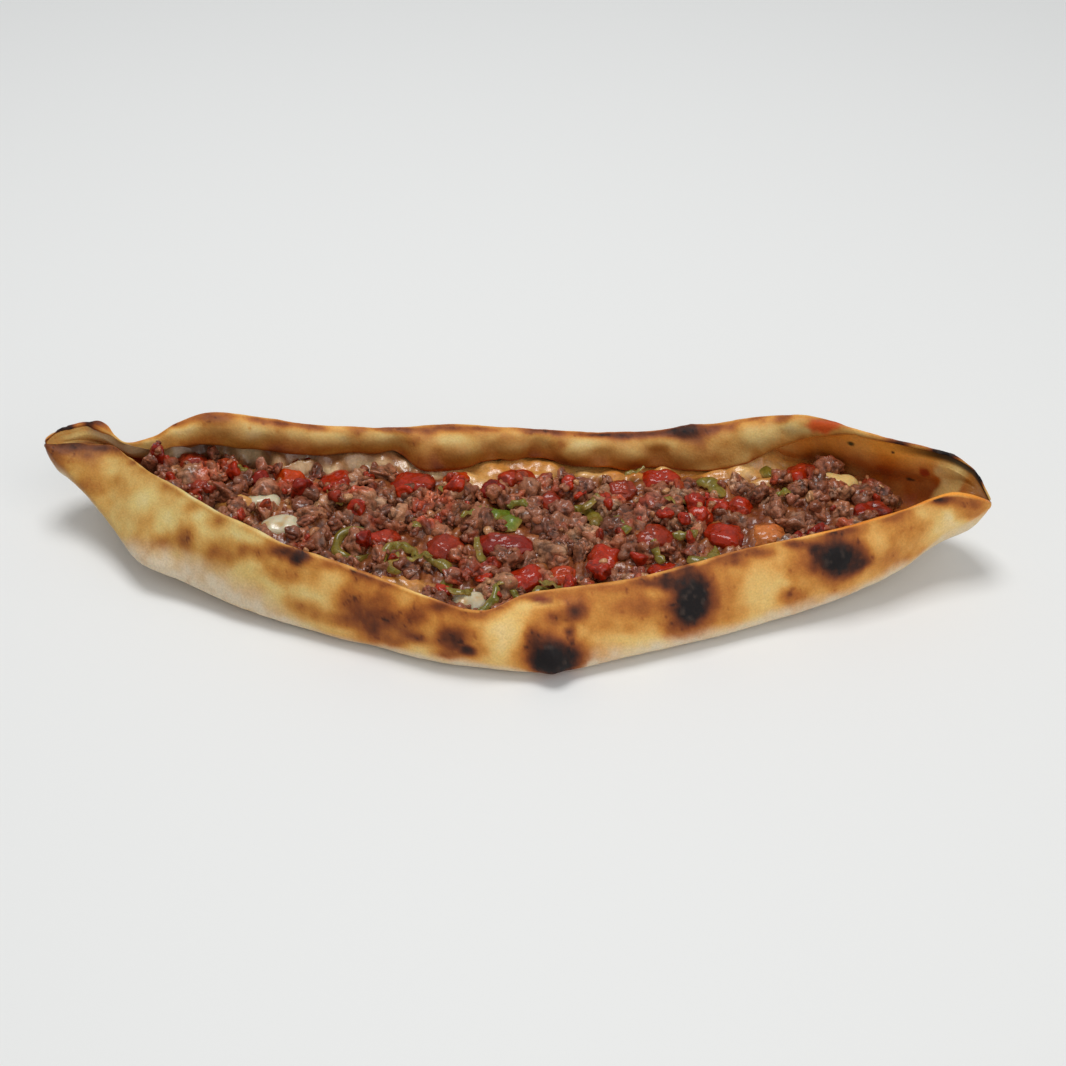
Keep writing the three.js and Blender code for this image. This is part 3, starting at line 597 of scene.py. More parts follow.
def baked(points, outside, inside):
    """How far each point of the bread is baked, from 0, pale dough, to 1, char; pale spots on the
    lip's bulges and a pale line along the rim's edge are painted highlights.
    """
    bake = 0.31 + 0.30 * layered(points, 30, 11) + 0.19 * layered(points, 9, 12)
    bake = mix(0.22 + 0.2 * layered(points, 14, 13), bake, outside)
    pale, warp = 0.10 + 0.08 * noise(points, 7, 24), 0.3 * noise(points, 12, 23)
    # Pale places; those on the bulges of the flap's lip are painted highlights.
    for *spot, share in PALE:
        d = spot_distance(points, spot, warp)
        bake = mix(bake, pale, share * fade(d, 0.3, 1.4) * outside)
    crests = hill(RING_U, 0, 0.3) + hill(RING_U, 13.4, 0.38)
    bake = bake + 0.30 * crests * (0.8 + 0.9 * layered(points, 15, 14)) * np.where(inside, 0.5, 1)
    flap_lip = hill(RING_U, SKIN_END, 0.35)
    bake = bake + 0.28 * flap_lip * (0.6 + 0.9 * layered(points, 13, 25))
    warp = 0.42 * noise(points, 13, 15) + 0.26 * noise(points, 6, 17) + 0.10 * layered(points, 3, 27)
    for *spot, level in SPOTS:
        roundness = smooth(level, 0.9, 1.05)
        d = spot_distance(points, spot, warp * mix(1, 0.25, roundness))
        share = fade(d, 0, 1.5) * mix(0.25, 1, outside)
        bake = np.maximum(bake, mix(bake, level, share))
    bake = bake + 0.06 * layered(points, 4.5, 31) * smooth(bake, 0.28, 0.5) * outside
    freckles = smooth(layered(points, 2.2, 18), 0.42, 0.75) * smooth(bake, 0.36, 0.6)
    grainy = 0.025 + 0.035 * smooth(bake, 0.80, 0.95) * outside
    bake = np.minimum(bake, 1.04) + 0.13 * freckles + grainy * noise(points, 1.4, 16)
    bake = np.clip(bake, 0, 1)
    # A paler line along the very edge of the front rim: a painted highlight on that edge.
    rim_edge_highlight = hill(RING_U, 0, 0.07) * smooth(noise(points, 11, 28), -0.5, 0.3)
    return bake - 0.2 * rim_edge_highlight * fade(bake, 0.7, 0.85)


def crust_tint(points, bake, outside):
    """Colours of the baked skin: ash on the char, a left wall darker and yellower, partly painted
    shade, and painted shade on the flap and under its lip.
    """
    x = points[..., 0]
    ash = smooth(layered(points, 2.6, 26), 0.15, 0.7) * smooth(bake, 0.92, 1.0) * outside
    tint = blend(palette(BAKE, bake), ASH, 0.5 * ash)
    # The left wall darker and yellower: partly the dough's own tone, partly painted shade where the
    # wall faces away from the light.
    left_wall_shade = fade(x, -120, -30) * outside * (RING_U < 4)
    tint = tinged(tint, (0.80, 0.89, 0.95), left_wall_shade)
    # Painted shade on the face of the flap: darker all over and more so in red, which also tones it
    # towards cream.
    flap = smooth(RING_U, 13.4, 13.9) * outside * smooth(x, -140, -122)
    tint = tinged(tint, (0.76, 0.80, 0.86), flap)
    # Painted shade under the flap's lip, where its lower face turns from the light, with browner
    # dough there as well.
    lip = smooth(RING_U, 13.8, 14.75) * outside * smooth(x, -142, -128)
    lip = lip * (1 - 0.8 * smooth(x, 58, 96)) * fade(x, 110, 130)
    return tinged(tint, (0.54, 0.31, 0.11), lip)


def flour_share(points, bake, outside):
    """How floury each point is: the foot of the outside, where it is baked least."""
    x, z = points[..., 0], points[..., 2]
    reach = 11 + 9 * hill(x, -112, 24) + 5 * noise(points, 18, 19)
    reach = reach - 4 * fade(x, -160, -140) - 3 * between(x, (-80, -50), (10, 40))
    rise = z - along(LIFT, x[:, 0])[:, None]
    dusty = fade(rise, 0.3 * reach, reach) * fade(bake, 0.45, 0.75)
    return np.clip(dusty * (0.85 + 0.5 * layered(points, 5, 20)) * outside, 0, 0.9)


def oil_share(points, inside):
    """How oily each point is: the inside near the filling, and all of it at the right end."""
    x, y, z = np.moveaxis(points, -1, 0)
    level = filling_top(x, y) + 2.5 + 2.5 * noise(points, 10, 21)
    oily = fade(z, level, level + 6) * inside
    oily = np.maximum(oily, inside * smooth(x, 104, 128))
    ridge = np.hypot((x - 176) / 13, (y - 21) / 5) * (1 + 0.3 * noise(points, 5, 29))
    oily = oily * smooth(ridge, 0.7, 1.2)
    return np.clip(oily * (0.9 + 0.3 * layered(points, 12, 22)), 0, 0.96)


def bread_paint(points):
    """Colour and roughness at each point of the bread."""
    outside = np.clip(2 - 2 * IS_INNER, 0, 1)
    inside = IS_INNER >= 0.5
    x, y, z = np.moveaxis(points, -1, 0)
    bake = baked(points, outside, inside)
    dusty, oily = flour_share(points, bake, outside), oil_share(points, inside)
    tint = blend(crust_tint(points, bake, outside), FLOUR, dusty)
    # Painted light on the inner right wall, where the end of the flap shades it: the oily colour
    # there is the paler one from higher up.
    painted_light_patch = hill(x, 117, 13)
    depth = smooth(z, 27 - 15 * painted_light_patch, 43 - 9 * painted_light_patch) + 0.35 * layered(points, 11, 30)
    tint = blend(tint, palette(OILY_DOUGH, depth), oily)
    scorched = inside * smooth(RING_U, 12.3, 14.0) * smooth(x, 148, 176)
    scorched = np.maximum(scorched, 0.7 * inside * smooth(x, 177, 188) * (y > 10))
    tint = tint * (1 - 0.92 * scorched[..., None])
    hollow = inside * smooth(RING_U, 10.9, 12.0) * between(x, (-180, -172), (-146, -136))
    tint = blend(tint, blend(CREAM, TAN, smooth(noise(points, 6, 44), 0, 0.6)), 0.9 * hollow)
    uneven = 1 + 0.35 * noise(points, 2.5, 32)
    for dx, dy, dz, half_length, half_height, *colour in DABS:
        d = np.hypot((x - dx) / half_length, np.hypot(y - dy, z - dz) / half_height)
        tint = blend(tint, colour, fade(d * uneven, 0.5, 1.2))
    gloss = mix(0.55, 0.3, oily) + 0.2 * dusty + 0.12 * smooth(bake, 0.8, 1.0)
    return tint, gloss


def make_bread():
    grid = rings + surface_normals(rings) * bread_relief(rings)[..., None]
    tint, gloss = bread_paint(grid)
    rows, columns = grid.shape[:2]
    faces = grid_faces(rows, columns, True).tolist()
    first, last = list(range(columns)), list(range((rows - 1) * columns, rows * columns))
    faces += [first, last[::-1]]
    material = food_material("crust", [(0.8, 0.14), (3.0, 0.24)], (0.8, 0.10),
                             subsurface=0.12, depth=1.6, shine=0.24)
    bread = make_piece("bread_crust", grid, faces, material, tint, gloss)
    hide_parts("bread")


make_bread()

# ---- room for the filling ----
LIMIT_XS = np.linspace(FILLING_START - 6, FILLING_END + 8, 170)
SKIN_SAMPLES = 16


def wall_limits():
    """Front and back limits in y of the hollow, at the height of the filling, for LIMIT_XS."""
    u = np.linspace(0, SKIN_END, SKIN_END * SKIN_SAMPLES + 1)
    front_row, back_row, fold_row = (round(place * SKIN_SAMPLES) for place in (3.75, 11.25, 11.75))
    inner = inner_skin(LIMIT_XS, u) + SHIFT[1:]
    heights = filling_top(LIMIT_XS, (inner[:, front_row, 0] + inner[:, back_row, 0]) / 2) - 3
    front, back = [], []
    for section, height in zip(inner, heights):
        front_rows = section[(u < 6) & (section[:, 1] >= height)]
        back_rows = section[(u > 6) & (u < 11.8) & (section[:, 1] >= height)]
        front.append(front_rows[-1, 0] if len(front_rows) else section[0, 0])
        back.append(back_rows[0, 0] if len(back_rows) else section[fold_row, 0])
    return np.array(front), np.array(back)


FRONT_LIMIT, BACK_LIMIT = wall_limits()


# Where the meat ends towards the back wall, in y; behind it dough rises to the flap.
MEAT_BACK = [
    [-160, 30], [-152, 32], [-140, 38], [-122, 40], [-108, 38], [-98, 33], [-86, 39], [-75, 33.5],
    [-66, 41], [-52, 40], [-42, 41], [-30, 38.5], [-19, 33], [-11, 29], [-4, 37], [6, 42], [22, 41],
    [35, 37], [48, 36], [56, 41], [66, 43], [76, 41.5], [89, 38.5], [106, 39], [116, 44],
    [128, 47], [139, 44], [148, 38], [156, 30], [162, 22],
]
# Lumps of melted dough along the back of the filling: x, how far behind the meat, half size.
DOUGH_LUMPS = [
    (-141, 1, 6), (-132, 4, 7), (-124, 2, 5), (-116, 4, 7), (-106, 3, 6), (-98, 1, 6), (-91, 4, 6),
    (-82, 2, 7), (-73, 4, 5), (-65, 2, 6), (-56, 3, 6), (-47, 3, 6), (-39, 2, 7), (-29, 4, 5),
    (-17, 5, 6), (-4, 5, 6), (6, 3, 6), (15, 3, 7), (30, 2, 6), (41, 4, 8), (52, 3, 6), (63, 3, 6),
    (84, 4, 6), (97, 4, 7),
]
# Mounds of dough that show between the filling and the walls: x, y, half sizes, height.
MOUNDS = [(-40, -36, 14, 6.5, 3.2), (-108, 7, 12, 5, 2.5), (6, -49, 8, 4, 2), (112, 36, 12, 4, 2),
          (-112, 47, 11, 6, 3), (-89, 38, 9, 5, 3), (-55, 45, 10, 5, 2.5), (-33, 42, 8, 4, 2),
          (6, 44, 12, 4, 1.5), (44, 41, 9, 4, 2), (151, 17, 9, 4, 1)]
MEAT_SAUCE = [(0, 0.1, 0.019, 0.005), (0.5, 0.19, 0.045, 0.012), (1, 0.3, 0.09, 0.022)]
STAINED_DOUGH = [(0, 0.5, 0.18, 0.028), (0.5, 0.56, 0.25, 0.055), (1, 0.65, 0.4, 0.145)]
CLEAR_FAT = [(0, 0.22, 0.085, 0.03), (0.5, 0.42, 0.23, 0.1), (1, 0.66, 0.47, 0.25)]


def billows(points, size, seed):
    """Rounded bumps with creases between them, about -0.5 to 0.5."""
    return 1.6 * np.abs(noise(points, size, seed)) - 0.4


BED_ROWS, BED_COLUMNS = 400, 110
BED_START, BED_END = FILLING_START - 4, FILLING_END + 6
# How far the bed lies under the filling's top, and how far it reaches into the walls.
BED_DEPTH = 2.4
BED_OVERLAP = 1.4


def dough_in_filling(flat, behind):
    """Share of dough, rise of its mounds and share of its lumps, at each point of the bed."""
    x, y = flat[..., 0], flat[..., 1]
    cream = behind * fade(x, 118, 136)
    mound, dome = np.zeros(x.shape), np.zeros(x.shape)
    uneven, frayed = 1 + 0.35 * noise(flat, 8, 33), 0.2 * noise(flat, 3, 40)
    for mx, my, half_length, half_width, rise in MOUNDS:
        d = np.hypot((x - mx) / half_length, (y - my) / half_width) * uneven + frayed
        cream = np.maximum(cream, fade(d, 0.7, 1.3))
        mound = np.maximum(mound, rise * fade(d, 0.2, 1.3))
    uneven = 1 + 0.3 * noise(flat, 5, 45)
    for lx, beyond, half in DOUGH_LUMPS:
        d = np.hypot((x - lx) / half, (y - along(MEAT_BACK, lx) - beyond) / (0.75 * half))
        dome = np.maximum(dome, fade(d * uneven, 0.1, 1.2))
    return cream, mound, dome


def bed():
    """The saucy bed under the meat, from wall to wall."""
    xs = np.linspace(BED_START, BED_END, BED_ROWS)
    front = np.interp(xs, LIMIT_XS, FRONT_LIMIT) - BED_OVERLAP
    back = np.interp(xs, LIMIT_XS, BACK_LIMIT) + BED_OVERLAP
    s = np.linspace(0, 1, BED_COLUMNS)
    y = front[:, None] * (1 - s) + back[:, None] * s
    x = np.broadcast_to(xs[:, None], y.shape)
    flat = np.stack([x, y, 0 * x], -1)
    lip = inner_skin(xs, np.array([11.5, SKIN_END]))[:, 1] + SHIFT[1:]
    begins = along(MEAT_BACK, xs)[:, None] + 1.2 * noise(flat, 9, 36)
    behind = smooth(y, begins - 1, begins + 1.5)
    up = smooth(y, begins - 1, np.maximum(begins + 5, lip[:, :1] + 1))
    gap = np.clip(lip[:, 1:] - 1.2 - filling_top(x, y) + BED_DEPTH, 0, 7.5)
    shelf = up * gap * fade(x, 104, 128)
    cream, mound, dome = dough_in_filling(flat, behind)
    bubbles = billows(flat * [1, 1.6, 1], 11, 39)
    rough = 1.6 * billows(flat, 5, 31) + 0.8 * billows(flat, 2.6, 32)
    folds = (1.4 * noise(flat, 9, 37) + 0.8 * bubbles) * behind + 1.9 * dome
    raised = np.maximum(shelf, mound * (1 - behind) + 0.5 * mound)
    z = filling_top(x, y) - BED_DEPTH + raised + folds
    z = z + rough * mix(1, 0.2, cream)
    z = z - 5 * (1 - between(x, (BED_START, FILLING_START + 8), (FILLING_END - 6, BED_END)))
    points = np.stack([x, y, z], -1)

    # The sauce and the clear fat are darker down in the creases of the bed's relief and lighter on
    # its bumps: painted shade.
    tint = palette(MEAT_SAUCE, 0.5 + 0.3 * layered(points, 6, 34) + 0.3 * rough)
    dough = palette(STAINED_DOUGH, 0.5 + 0.6 * layered(points, 11, 35))
    fat = palette(CLEAR_FAT, 0.30 + 0.30 * layered(points, 8, 38) + 0.9 * bubbles)
    dough = blend(dough, fat, fade(x, -36, -16) * smooth(y, 22, 30))
    tint = blend(tint, dough, 0.96 * np.maximum(cream, dome)) * mix(1.0, 1.12, dome)[..., None]
    gloss = mix(0.33, 0.29, np.maximum(cream, dome))
    material = food_material("sauce", [(0.8, 0.10), (2.2, 0.3)], (1.0, 0.16),
                             subsurface=0.1, depth=1.5, coat=0.35, shine=0.4)
    faces = grid_faces(BED_ROWS, BED_COLUMNS, False)
    piece = make_piece("filling_bed", points, faces, material, tint, gloss)
    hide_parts("meat_filling")
    lay(points)


# Height of what lies at each millimetre of a field round the bread, counted from one corner.
FIELD_CORNER = np.array([-200, -80])
HEIGHTS = np.full(-2 * FIELD_CORNER, -1e3)


def lay(points):
    """Notes how high these points stand."""
    i, j = (points.reshape(-1, 3)[:, :2] - FIELD_CORNER).round().astype(int).T
    np.maximum.at(HEIGHTS, (i, j), points.reshape(-1, 3)[:, 2])


def height_at(x, y):
    """Height of what lies at x, y so far."""
    i, j = (np.stack([x, y], -1) - FIELD_CORNER).round().astype(int).T
    return np.max([HEIGHTS[i + a, j + b] for a in (-1, 0, 1) for b in (-1, 0, 1)], 0)


bed()


# ---- toppings that have solids of their own ----
def node_points(name):
    return np.array([v.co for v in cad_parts[name].data.vertices]) / MM


def node_planes(name):
    """Centre of a convex node, and the outward normals and distances of its facets."""
    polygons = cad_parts[name].data.polygons
    centre, _ = box_of(name)
    normals = np.array([p.normal for p in polygons])
    middles = np.array([p.center for p in polygons]) / MM - centre
    return centre, normals, np.einsum("ij,ij->i", normals, middles)


def names_of(kind):
    found = [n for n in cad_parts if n.startswith(kind + "_")]
    return sorted(found, key=lambda n: int(n.split("_")[1]))


BALL_POINTS, BALL_FACES = ball(5)
BALL_NEAR = neighbours(len(BALL_POINTS), BALL_FACES)


def rounded_nodes(names, rounding):
    """The convex nodes with their edges rounded, [node, point, xyz]."""
    shapes = []
    for name in names:
        centre, normals, distances = node_planes(name)
        facing = BALL_POINTS @ normals.T
        reach = np.where(facing > 1e-3, distances / np.maximum(facing, 1e-3), 1e9).min(1)
        for _ in range(rounding):
            reach = reach[BALL_NEAR].mean(1)
        shapes.append(centre + BALL_POINTS * reach[:, None])
    return np.array(shapes)


RED = (0.32, 0.017, 0.002)
DEEP_RED = (0.21, 0.010, 0.002)
ORANGE_RED = (0.42, 0.036, 0.001)
FADED_RED = (0.25, 0.021, 0.005)
BRIGHT_RED = (0.37, 0.020, 0.001)
PALE_ORANGE = (0.52, 0.15, 0.030)
TOMATO_TINTS = {
    1: FADED_RED, 2: FADED_RED, 3: ORANGE_RED, 4: DEEP_RED, 7: ORANGE_RED, 9: FADED_RED,
    10: DEEP_RED, 12: ORANGE_RED, 13: BRIGHT_RED, 15: FADED_RED, 16: FADED_RED, 18: FADED_RED,
    21: PALE_ORANGE, 22: BRIGHT_RED, 23: DEEP_RED,
}
FLESH = (0.28, 0.038, 0.010)


def torn_flesh(shapes, directions, seed):
    """Relief and share of flesh of tomato pieces: smooth skin on one side, torn flesh elsewhere."""
    random = np.random.default_rng(seed)
    facing = np.einsum("pk,nk->np", directions, unit(random.normal(size=(len(shapes), 3))))
    flesh = smooth(facing + 0.5 * noise(shapes, 5, seed), -0.2, 0.35)
    torn = 0.5 * billows(shapes * [0.55, 1, 1], 3.2, seed + 2)
    torn = torn + 0.3 * billows(shapes * [0.5, 1, 1], 1.5, seed + 3)
    height = 0.9 * noise(shapes, 6, seed + 1) + 0.45 * layered(shapes, 2.8, seed + 4)
    return height + flesh * torn, flesh


tomato_material = food_material("tomato_flesh", [(0.6, 0.12), (1.8, 0.30)], (1.2, 0.22),
                                subsurface=0.1, depth=1.0, coat=0.45, shine=0.12)


def tomatoes():
    names = names_of("tomato")
    shapes = rounded_nodes(names, 1)
    height, flesh = torn_flesh(shapes, BALL_POINTS, 41)
    shapes = shapes + BALL_POINTS[None] * height[..., None]
    tints = np.array([TOMATO_TINTS.get(i + 1, RED) for i in range(len(names))])[:, None]
    tint = mix(tints, mix(tints, np.array(FLESH), 0.35), flesh[..., None])
    # Painted shade in the creases of the torn flesh.
    tint = tint * mix(1.0, 0.6 + 0.5 * smooth(billows(shapes, 3.2, 43), -0.4, 0.2), flesh)[..., None]
    tint = tint * (1 + 0.3 * layered(shapes, 3.4, 47)[..., None])
    piece = make_piece("tomato_pieces", shapes, repeated(BALL_FACES, shapes), tomato_material,
                       tint, 0.30 + 0.10 * flesh)
    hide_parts(*names)
    lay(shapes)


tomatoes()


def cheeses():
    names = names_of("cheese")
    shapes = rounded_nodes(names, 16)
    relief = 1.4 * noise(shapes, 8, 51) + 0.45 * noise(shapes, 3.5, 52)
    shapes = shapes + BALL_POINTS[None] * relief[..., None]
    yellow = smooth(shapes[..., 0], 60, 100)
    fresh = blend(np.array([0.58, 0.50, 0.33]), (0.68, 0.46, 0.17), yellow)
    tint = blend(fresh, (0.48, 0.28, 0.09), 0.8 * smooth(layered(shapes, 7, 53), 0.1, 0.7))
    material = food_material("cheese", [(1.2, 0.08), (4, 0.3)], (2, 0.06),
                             subsurface=0.3, depth=3.0, coat=0.3)
    piece = make_piece("cheese_lumps", shapes, repeated(BALL_FACES, shapes), material, tint,
                       0.28)
    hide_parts(*names)
    lay(shapes)


cheeses()

# ---- pepper strips ----
STRIP_STEPS = 46
STRIP_SIDES = 16
GREEN_SKIN = np.array([0.17, 0.125, 0.012])
GREEN_FLESH = np.array([0.38, 0.25, 0.055])
BRIGHT_SKIN = np.array([0.11, 0.155, 0.008])


def bent_strip(hub, normal, towards, radius, arc, half_width, half_height, seed):
    """A bent strip: points, and how far each lies on the outer, skin side."""
    side = np.cross(normal, towards)
    s = np.linspace(-1, 1, STRIP_STEPS)[:, None]
    angle = s * arc / 2
    taper = np.clip(1 - np.abs(s) ** 7, 0.15, 1) * (1 + 0.14 * np.sin(7 * s + 3 * seed))
    wobble = 0.5 * np.sin(5 * s + seed) + 0.3 * np.sin(11 * s + 2 * seed)
    turn = np.linspace(0, 2 * np.pi, STRIP_SIDES, endpoint=False)[None]
    c, h = np.cos(turn), np.sin(turn)
    squared = (np.abs(c) ** 3 + np.abs(h) ** 3) ** (-1 / 3)
    across = c * squared * half_width * taper
    arch = 0.9 * half_height * (1 - (c * squared) ** 2)
    up = h * squared * 0.42 * half_height * taper + 0.7 * wobble + arch - 0.4 * half_height
    r = radius + across + 0.6 * wobble
    directions = np.cos(angle)[..., None] * towards + np.sin(angle)[..., None] * side
    points = hub + directions * r[..., None] + normal * up[..., None]
    skin = np.broadcast_to(smooth(h, -0.1, 0.5) * (1 - 0.9 * np.abs(c) ** 3), across.shape)
    return points, skin


def fitted_strip(name, seed):
    """The bent strip that follows a pepper node: its plane, circle and arc."""
    p = node_points(name)
    middle = p.mean(0)
    normal = np.linalg.svd(p - middle)[2][2]
    normal = normal * np.sign(normal[2])
    first = unit(np.cross(normal, [0.0, 1.0, 0.0]))
    second = np.cross(normal, first)
    q = np.stack([(p - middle) @ first, (p - middle) @ second], 1)
    fit = np.linalg.lstsq(np.c_[2 * q, np.ones(len(q))], (q ** 2).sum(1), rcond=None)[0]
    spokes = q - fit[:2]
    lengths = np.linalg.norm(spokes, axis=1)
    mean = unit(unit(spokes).mean(0))
    angles = np.arctan2(mean[0] * spokes[:, 1] - mean[1] * spokes[:, 0], spokes @ mean)
    hub = middle + fit[0] * first + fit[1] * second
    towards = mean[0] * first + mean[1] * second
    return bent_strip(hub, normal, towards, (lengths.max() + lengths.min()) / 2, np.ptp(angles),
                      np.ptp(lengths) / 2, np.abs((p - middle) @ normal).max(), seed)


# How far the loose strips stand above the filling's top.
LOOSE_STRIP_RISE = 2.9
# Small loose strips: x, y, radius of the bend, arc in degrees, strip width, turn in degrees.
LOOSE_STRIPS = [
    (-57, -10, 9, 80, 3.2, 20), (-46, -20, 8, 110, 3.4, 150), (-33, -22, 10, 80, 3, 80),
    (-14, 8, 9, 90, 3, 120), (-10, -18, 12, 60, 3.4, 200), (-2, -36, 9, 100, 3.2, 250),
    (6, 14, 10, 80, 3.2, 80), (19, -35, 9, 70, 3, 100), (33, 14, 8, 90, 3.8, 300),
    (47, 2, 8, 80, 4, 30), (68, 16, 12, 60, 3, 110), (72, -6, 9, 70, 3.6, 260),
    (-28, 22, 9, 70, 3, 200), (-70, 10, 9, 60, 2.8, 60), (86, 14, 9, 60, 2.8, 20),
    (112, 20, 9, 60, 2.8, 140), (-110, 24, 8, 60, 2.6, 80), (52, 38, 9, 60, 2.8, 100),
    (-3, -45, 12, 80, 3.4, 330), (-15, -42, 11, 70, 3.2, 300), (-44, -30, 9, 120, 3.2, 190),
    (8, -43, 9, 70, 3, 40), (-36, -2, 10, 60, 3, 10), (60, -16, 9, 80, 3.4, 200),
]


def peppers():
    """The strips that follow the pepper nodes, and the small loose ones."""
    names = names_of("pepper")
    strips = [fitted_strip(name, i) for i, name in enumerate(names)]
    skins = [BRIGHT_SKIN if name == "pepper_4" else GREEN_SKIN for name in names]
    for i, (x, y, radius, arc, width, degrees) in enumerate(LOOSE_STRIPS):
        lean = 0.5 * np.array([math.sin(2.1 * i), math.cos(3.7 * i), 0])
        normal = unit(np.array([0, 0, 1.0]) + lean)
        angle = math.radians(degrees)
        level = np.array([math.cos(angle), math.sin(angle), 0])
        towards = unit(np.cross(np.cross(normal, level), normal))
        middle = np.array([x, y, filling_top(x, y) + LOOSE_STRIP_RISE])
        strips.append(bent_strip(middle - radius * towards, normal, towards, radius,
                                 math.radians(arc), width / 2, 0.9, i + 20))
        skins.append(mix(GREEN_SKIN, BRIGHT_SKIN, 0.3 * (i % 3 == 0)))
    shapes = np.array([s[0].reshape(-1, 3) for s in strips])
    skin = np.array([s[1].ravel() for s in strips])[..., None]
    shapes = shapes + 0.35 * np.stack([noise(shapes, 3, 61 + k) for k in range(3)], -1)
    tint = mix(GREEN_FLESH, np.array(skins)[:, None], skin)
    tint = blend(tint, (0.24, 0.11, 0.022), 0.8 * smooth(layered(shapes, 6, 62), 0.15, 0.8))
    faces = repeated(grid_faces(STRIP_STEPS, STRIP_SIDES, True), shapes)
    material = food_material("pepper", [(0.8, 0.06), (3, 0.25)], (1.6, 0.22),
                             subsurface=0.2, depth=1.5, coat=0.1, shine=0.4)
    piece = make_piece("pepper_strips", shapes, faces, material, tint, 0.24)
    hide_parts(*names)
    lay(shapes)


peppers()

# ---- meat ----
TOPPINGS = [box_of(name) for name in names_of("tomato") + names_of("cheese")]
# The filling lies between these two, in y.
FILLING_Y = (-60, 62)
PEPPER_POINTS = np.concatenate([node_points(n)[:, :2] for n in names_of("pepper")])


def room_at(x, y, size):
    """True where a lump of that size stands clear of the walls, the flap and the toppings."""
    front = np.interp(x, LIMIT_XS, FRONT_LIMIT)
    back = min(np.interp(x, LIMIT_XS, BACK_LIMIT), float(along(MEAT_BACK, x)))
    if y < front + 0.42 * size or y > back - 0.35 * size:
        return False
    for mx, my, half_length, half_width, _ in MOUNDS:
        if math.hypot((x - mx) / half_length, (y - my) / half_width) < 0.85:
            return False
    for middle, half in TOPPINGS:
        reach = half[:2] + 0.12 * size
        if math.hypot((x - middle[0]) / reach[0], (y - middle[1]) / reach[1]) < 1:
            return False
    return np.hypot(*(PEPPER_POINTS - (x, y)).T).min() > 0.3 * size + 0.6


def scatter(seed, wanted, sizes, spacing, tries=6000, taken=()):
    """Places (x, y, size), each at least spacing times its size from the others and the taken."""
    random = np.random.default_rng(seed)
    found = list(taken)
    first = len(found)
    for _ in range(tries):
        if len(found) - first >= wanted:
            break
        x = random.uniform(FILLING_START + 1, FILLING_END - 1)
        y = random.uniform(*FILLING_Y)
        size = random.uniform(*sizes)
        if not room_at(x, y, size):
            continue
        spots = np.array(found) if found else np.full((1, 3), 1e6)
        gap = np.hypot(spots[:, 0] - x, spots[:, 1] - y)
        if (gap > spacing * (size + spots[:, 2]) / 2).all():
            found.append((x, y, size))
    return np.array(found[first:])


def random_turns(random, count):
    turns = np.linalg.qr(random.normal(size=(count, 3, 3)))[0]
    turns[:, :, 0] *= np.sign(np.linalg.det(turns))[:, None]
    return turns


def chunks(spots, heights, seed, level, cuts, relief):
    """Dice cut by random planes and worn, with their faces.

    Also returns how open each point is, 0 in a crease, which darkens the colours as painted shade,
    and the random numbers for the colours.
    """
    random = np.random.default_rng(seed)
    points, faces = ball(level)
    near = neighbours(len(points), faces)
    count = len(spots)
    normals = unit(random.normal(size=(count, cuts, 3)))
    distances = random.uniform(0.5, 0.9, (count, 1, cuts))
    facing = np.einsum("pk,nck->npc", points, normals)
    reach = np.where(facing > 0.05, distances / np.maximum(facing, 0.05), 9).min(2)
    reach = np.minimum(reach, 1.2)
    for _ in range(level - 2):
        reach = reach[:, near].mean(2)
    size = spots[:, 2][:, None]
    stretch = random.uniform(0.65, 1.35, (count, 1, 3))
    local = points[None] * reach[..., None] * stretch * size[..., None] / 2
    apart = local + random.uniform(-500, 500, (count, 1, 3))
    knobs = billows(apart * [0.6, 1, 1], 2.6, seed)
    grains = billows(apart * [0.5, 1, 1], 1.4, seed + 1)
    roughness = np.clip(size / 9, 0.42, 1.25) * (0.75 * knobs + 0.95 * grains)
    height = relief * (0.17 * size * noise(apart, 5.0, seed + 2) + roughness)
    local = local + points[None] * height[..., None]
    turned = np.einsum("nij,npj->npi", random_turns(random, count), local)
    middles = np.stack([spots[:, 0], spots[:, 1], heights], -1)
    shapes = turned + middles[:, None]
    return shapes, repeated(faces, shapes), smooth(knobs + 0.8 * grains, -0.5, 0.4), random


def picked(colours, random, count):
    """One of the colours for each of count lumps."""
    return np.array(colours)[random.integers(0, len(colours), count)][:, None]


MEAT_TINTS = [(0.28, 0.1, 0.046), (0.31, 0.11, 0.054), (0.2, 0.064, 0.03),
              (0.37, 0.163, 0.08), (0.25, 0.077, 0.038), (0.3, 0.092, 0.04)]
CRUMB_TINTS = [(0.3, 0.095, 0.04), (0.22, 0.062, 0.026), (0.44, 0.21, 0.09), (0.32, 0.028, 0.008),
               (0.27, 0.078, 0.032), (0.36, 0.14, 0.055), (0.2, 0.052, 0.022)]
meat_material = food_material("meat", [(0.45, 0.18), (1.2, 0.42)], (0.8, 0.28),
                              subsurface=0.08, depth=0.8, coat=0.45, shine=0.15)


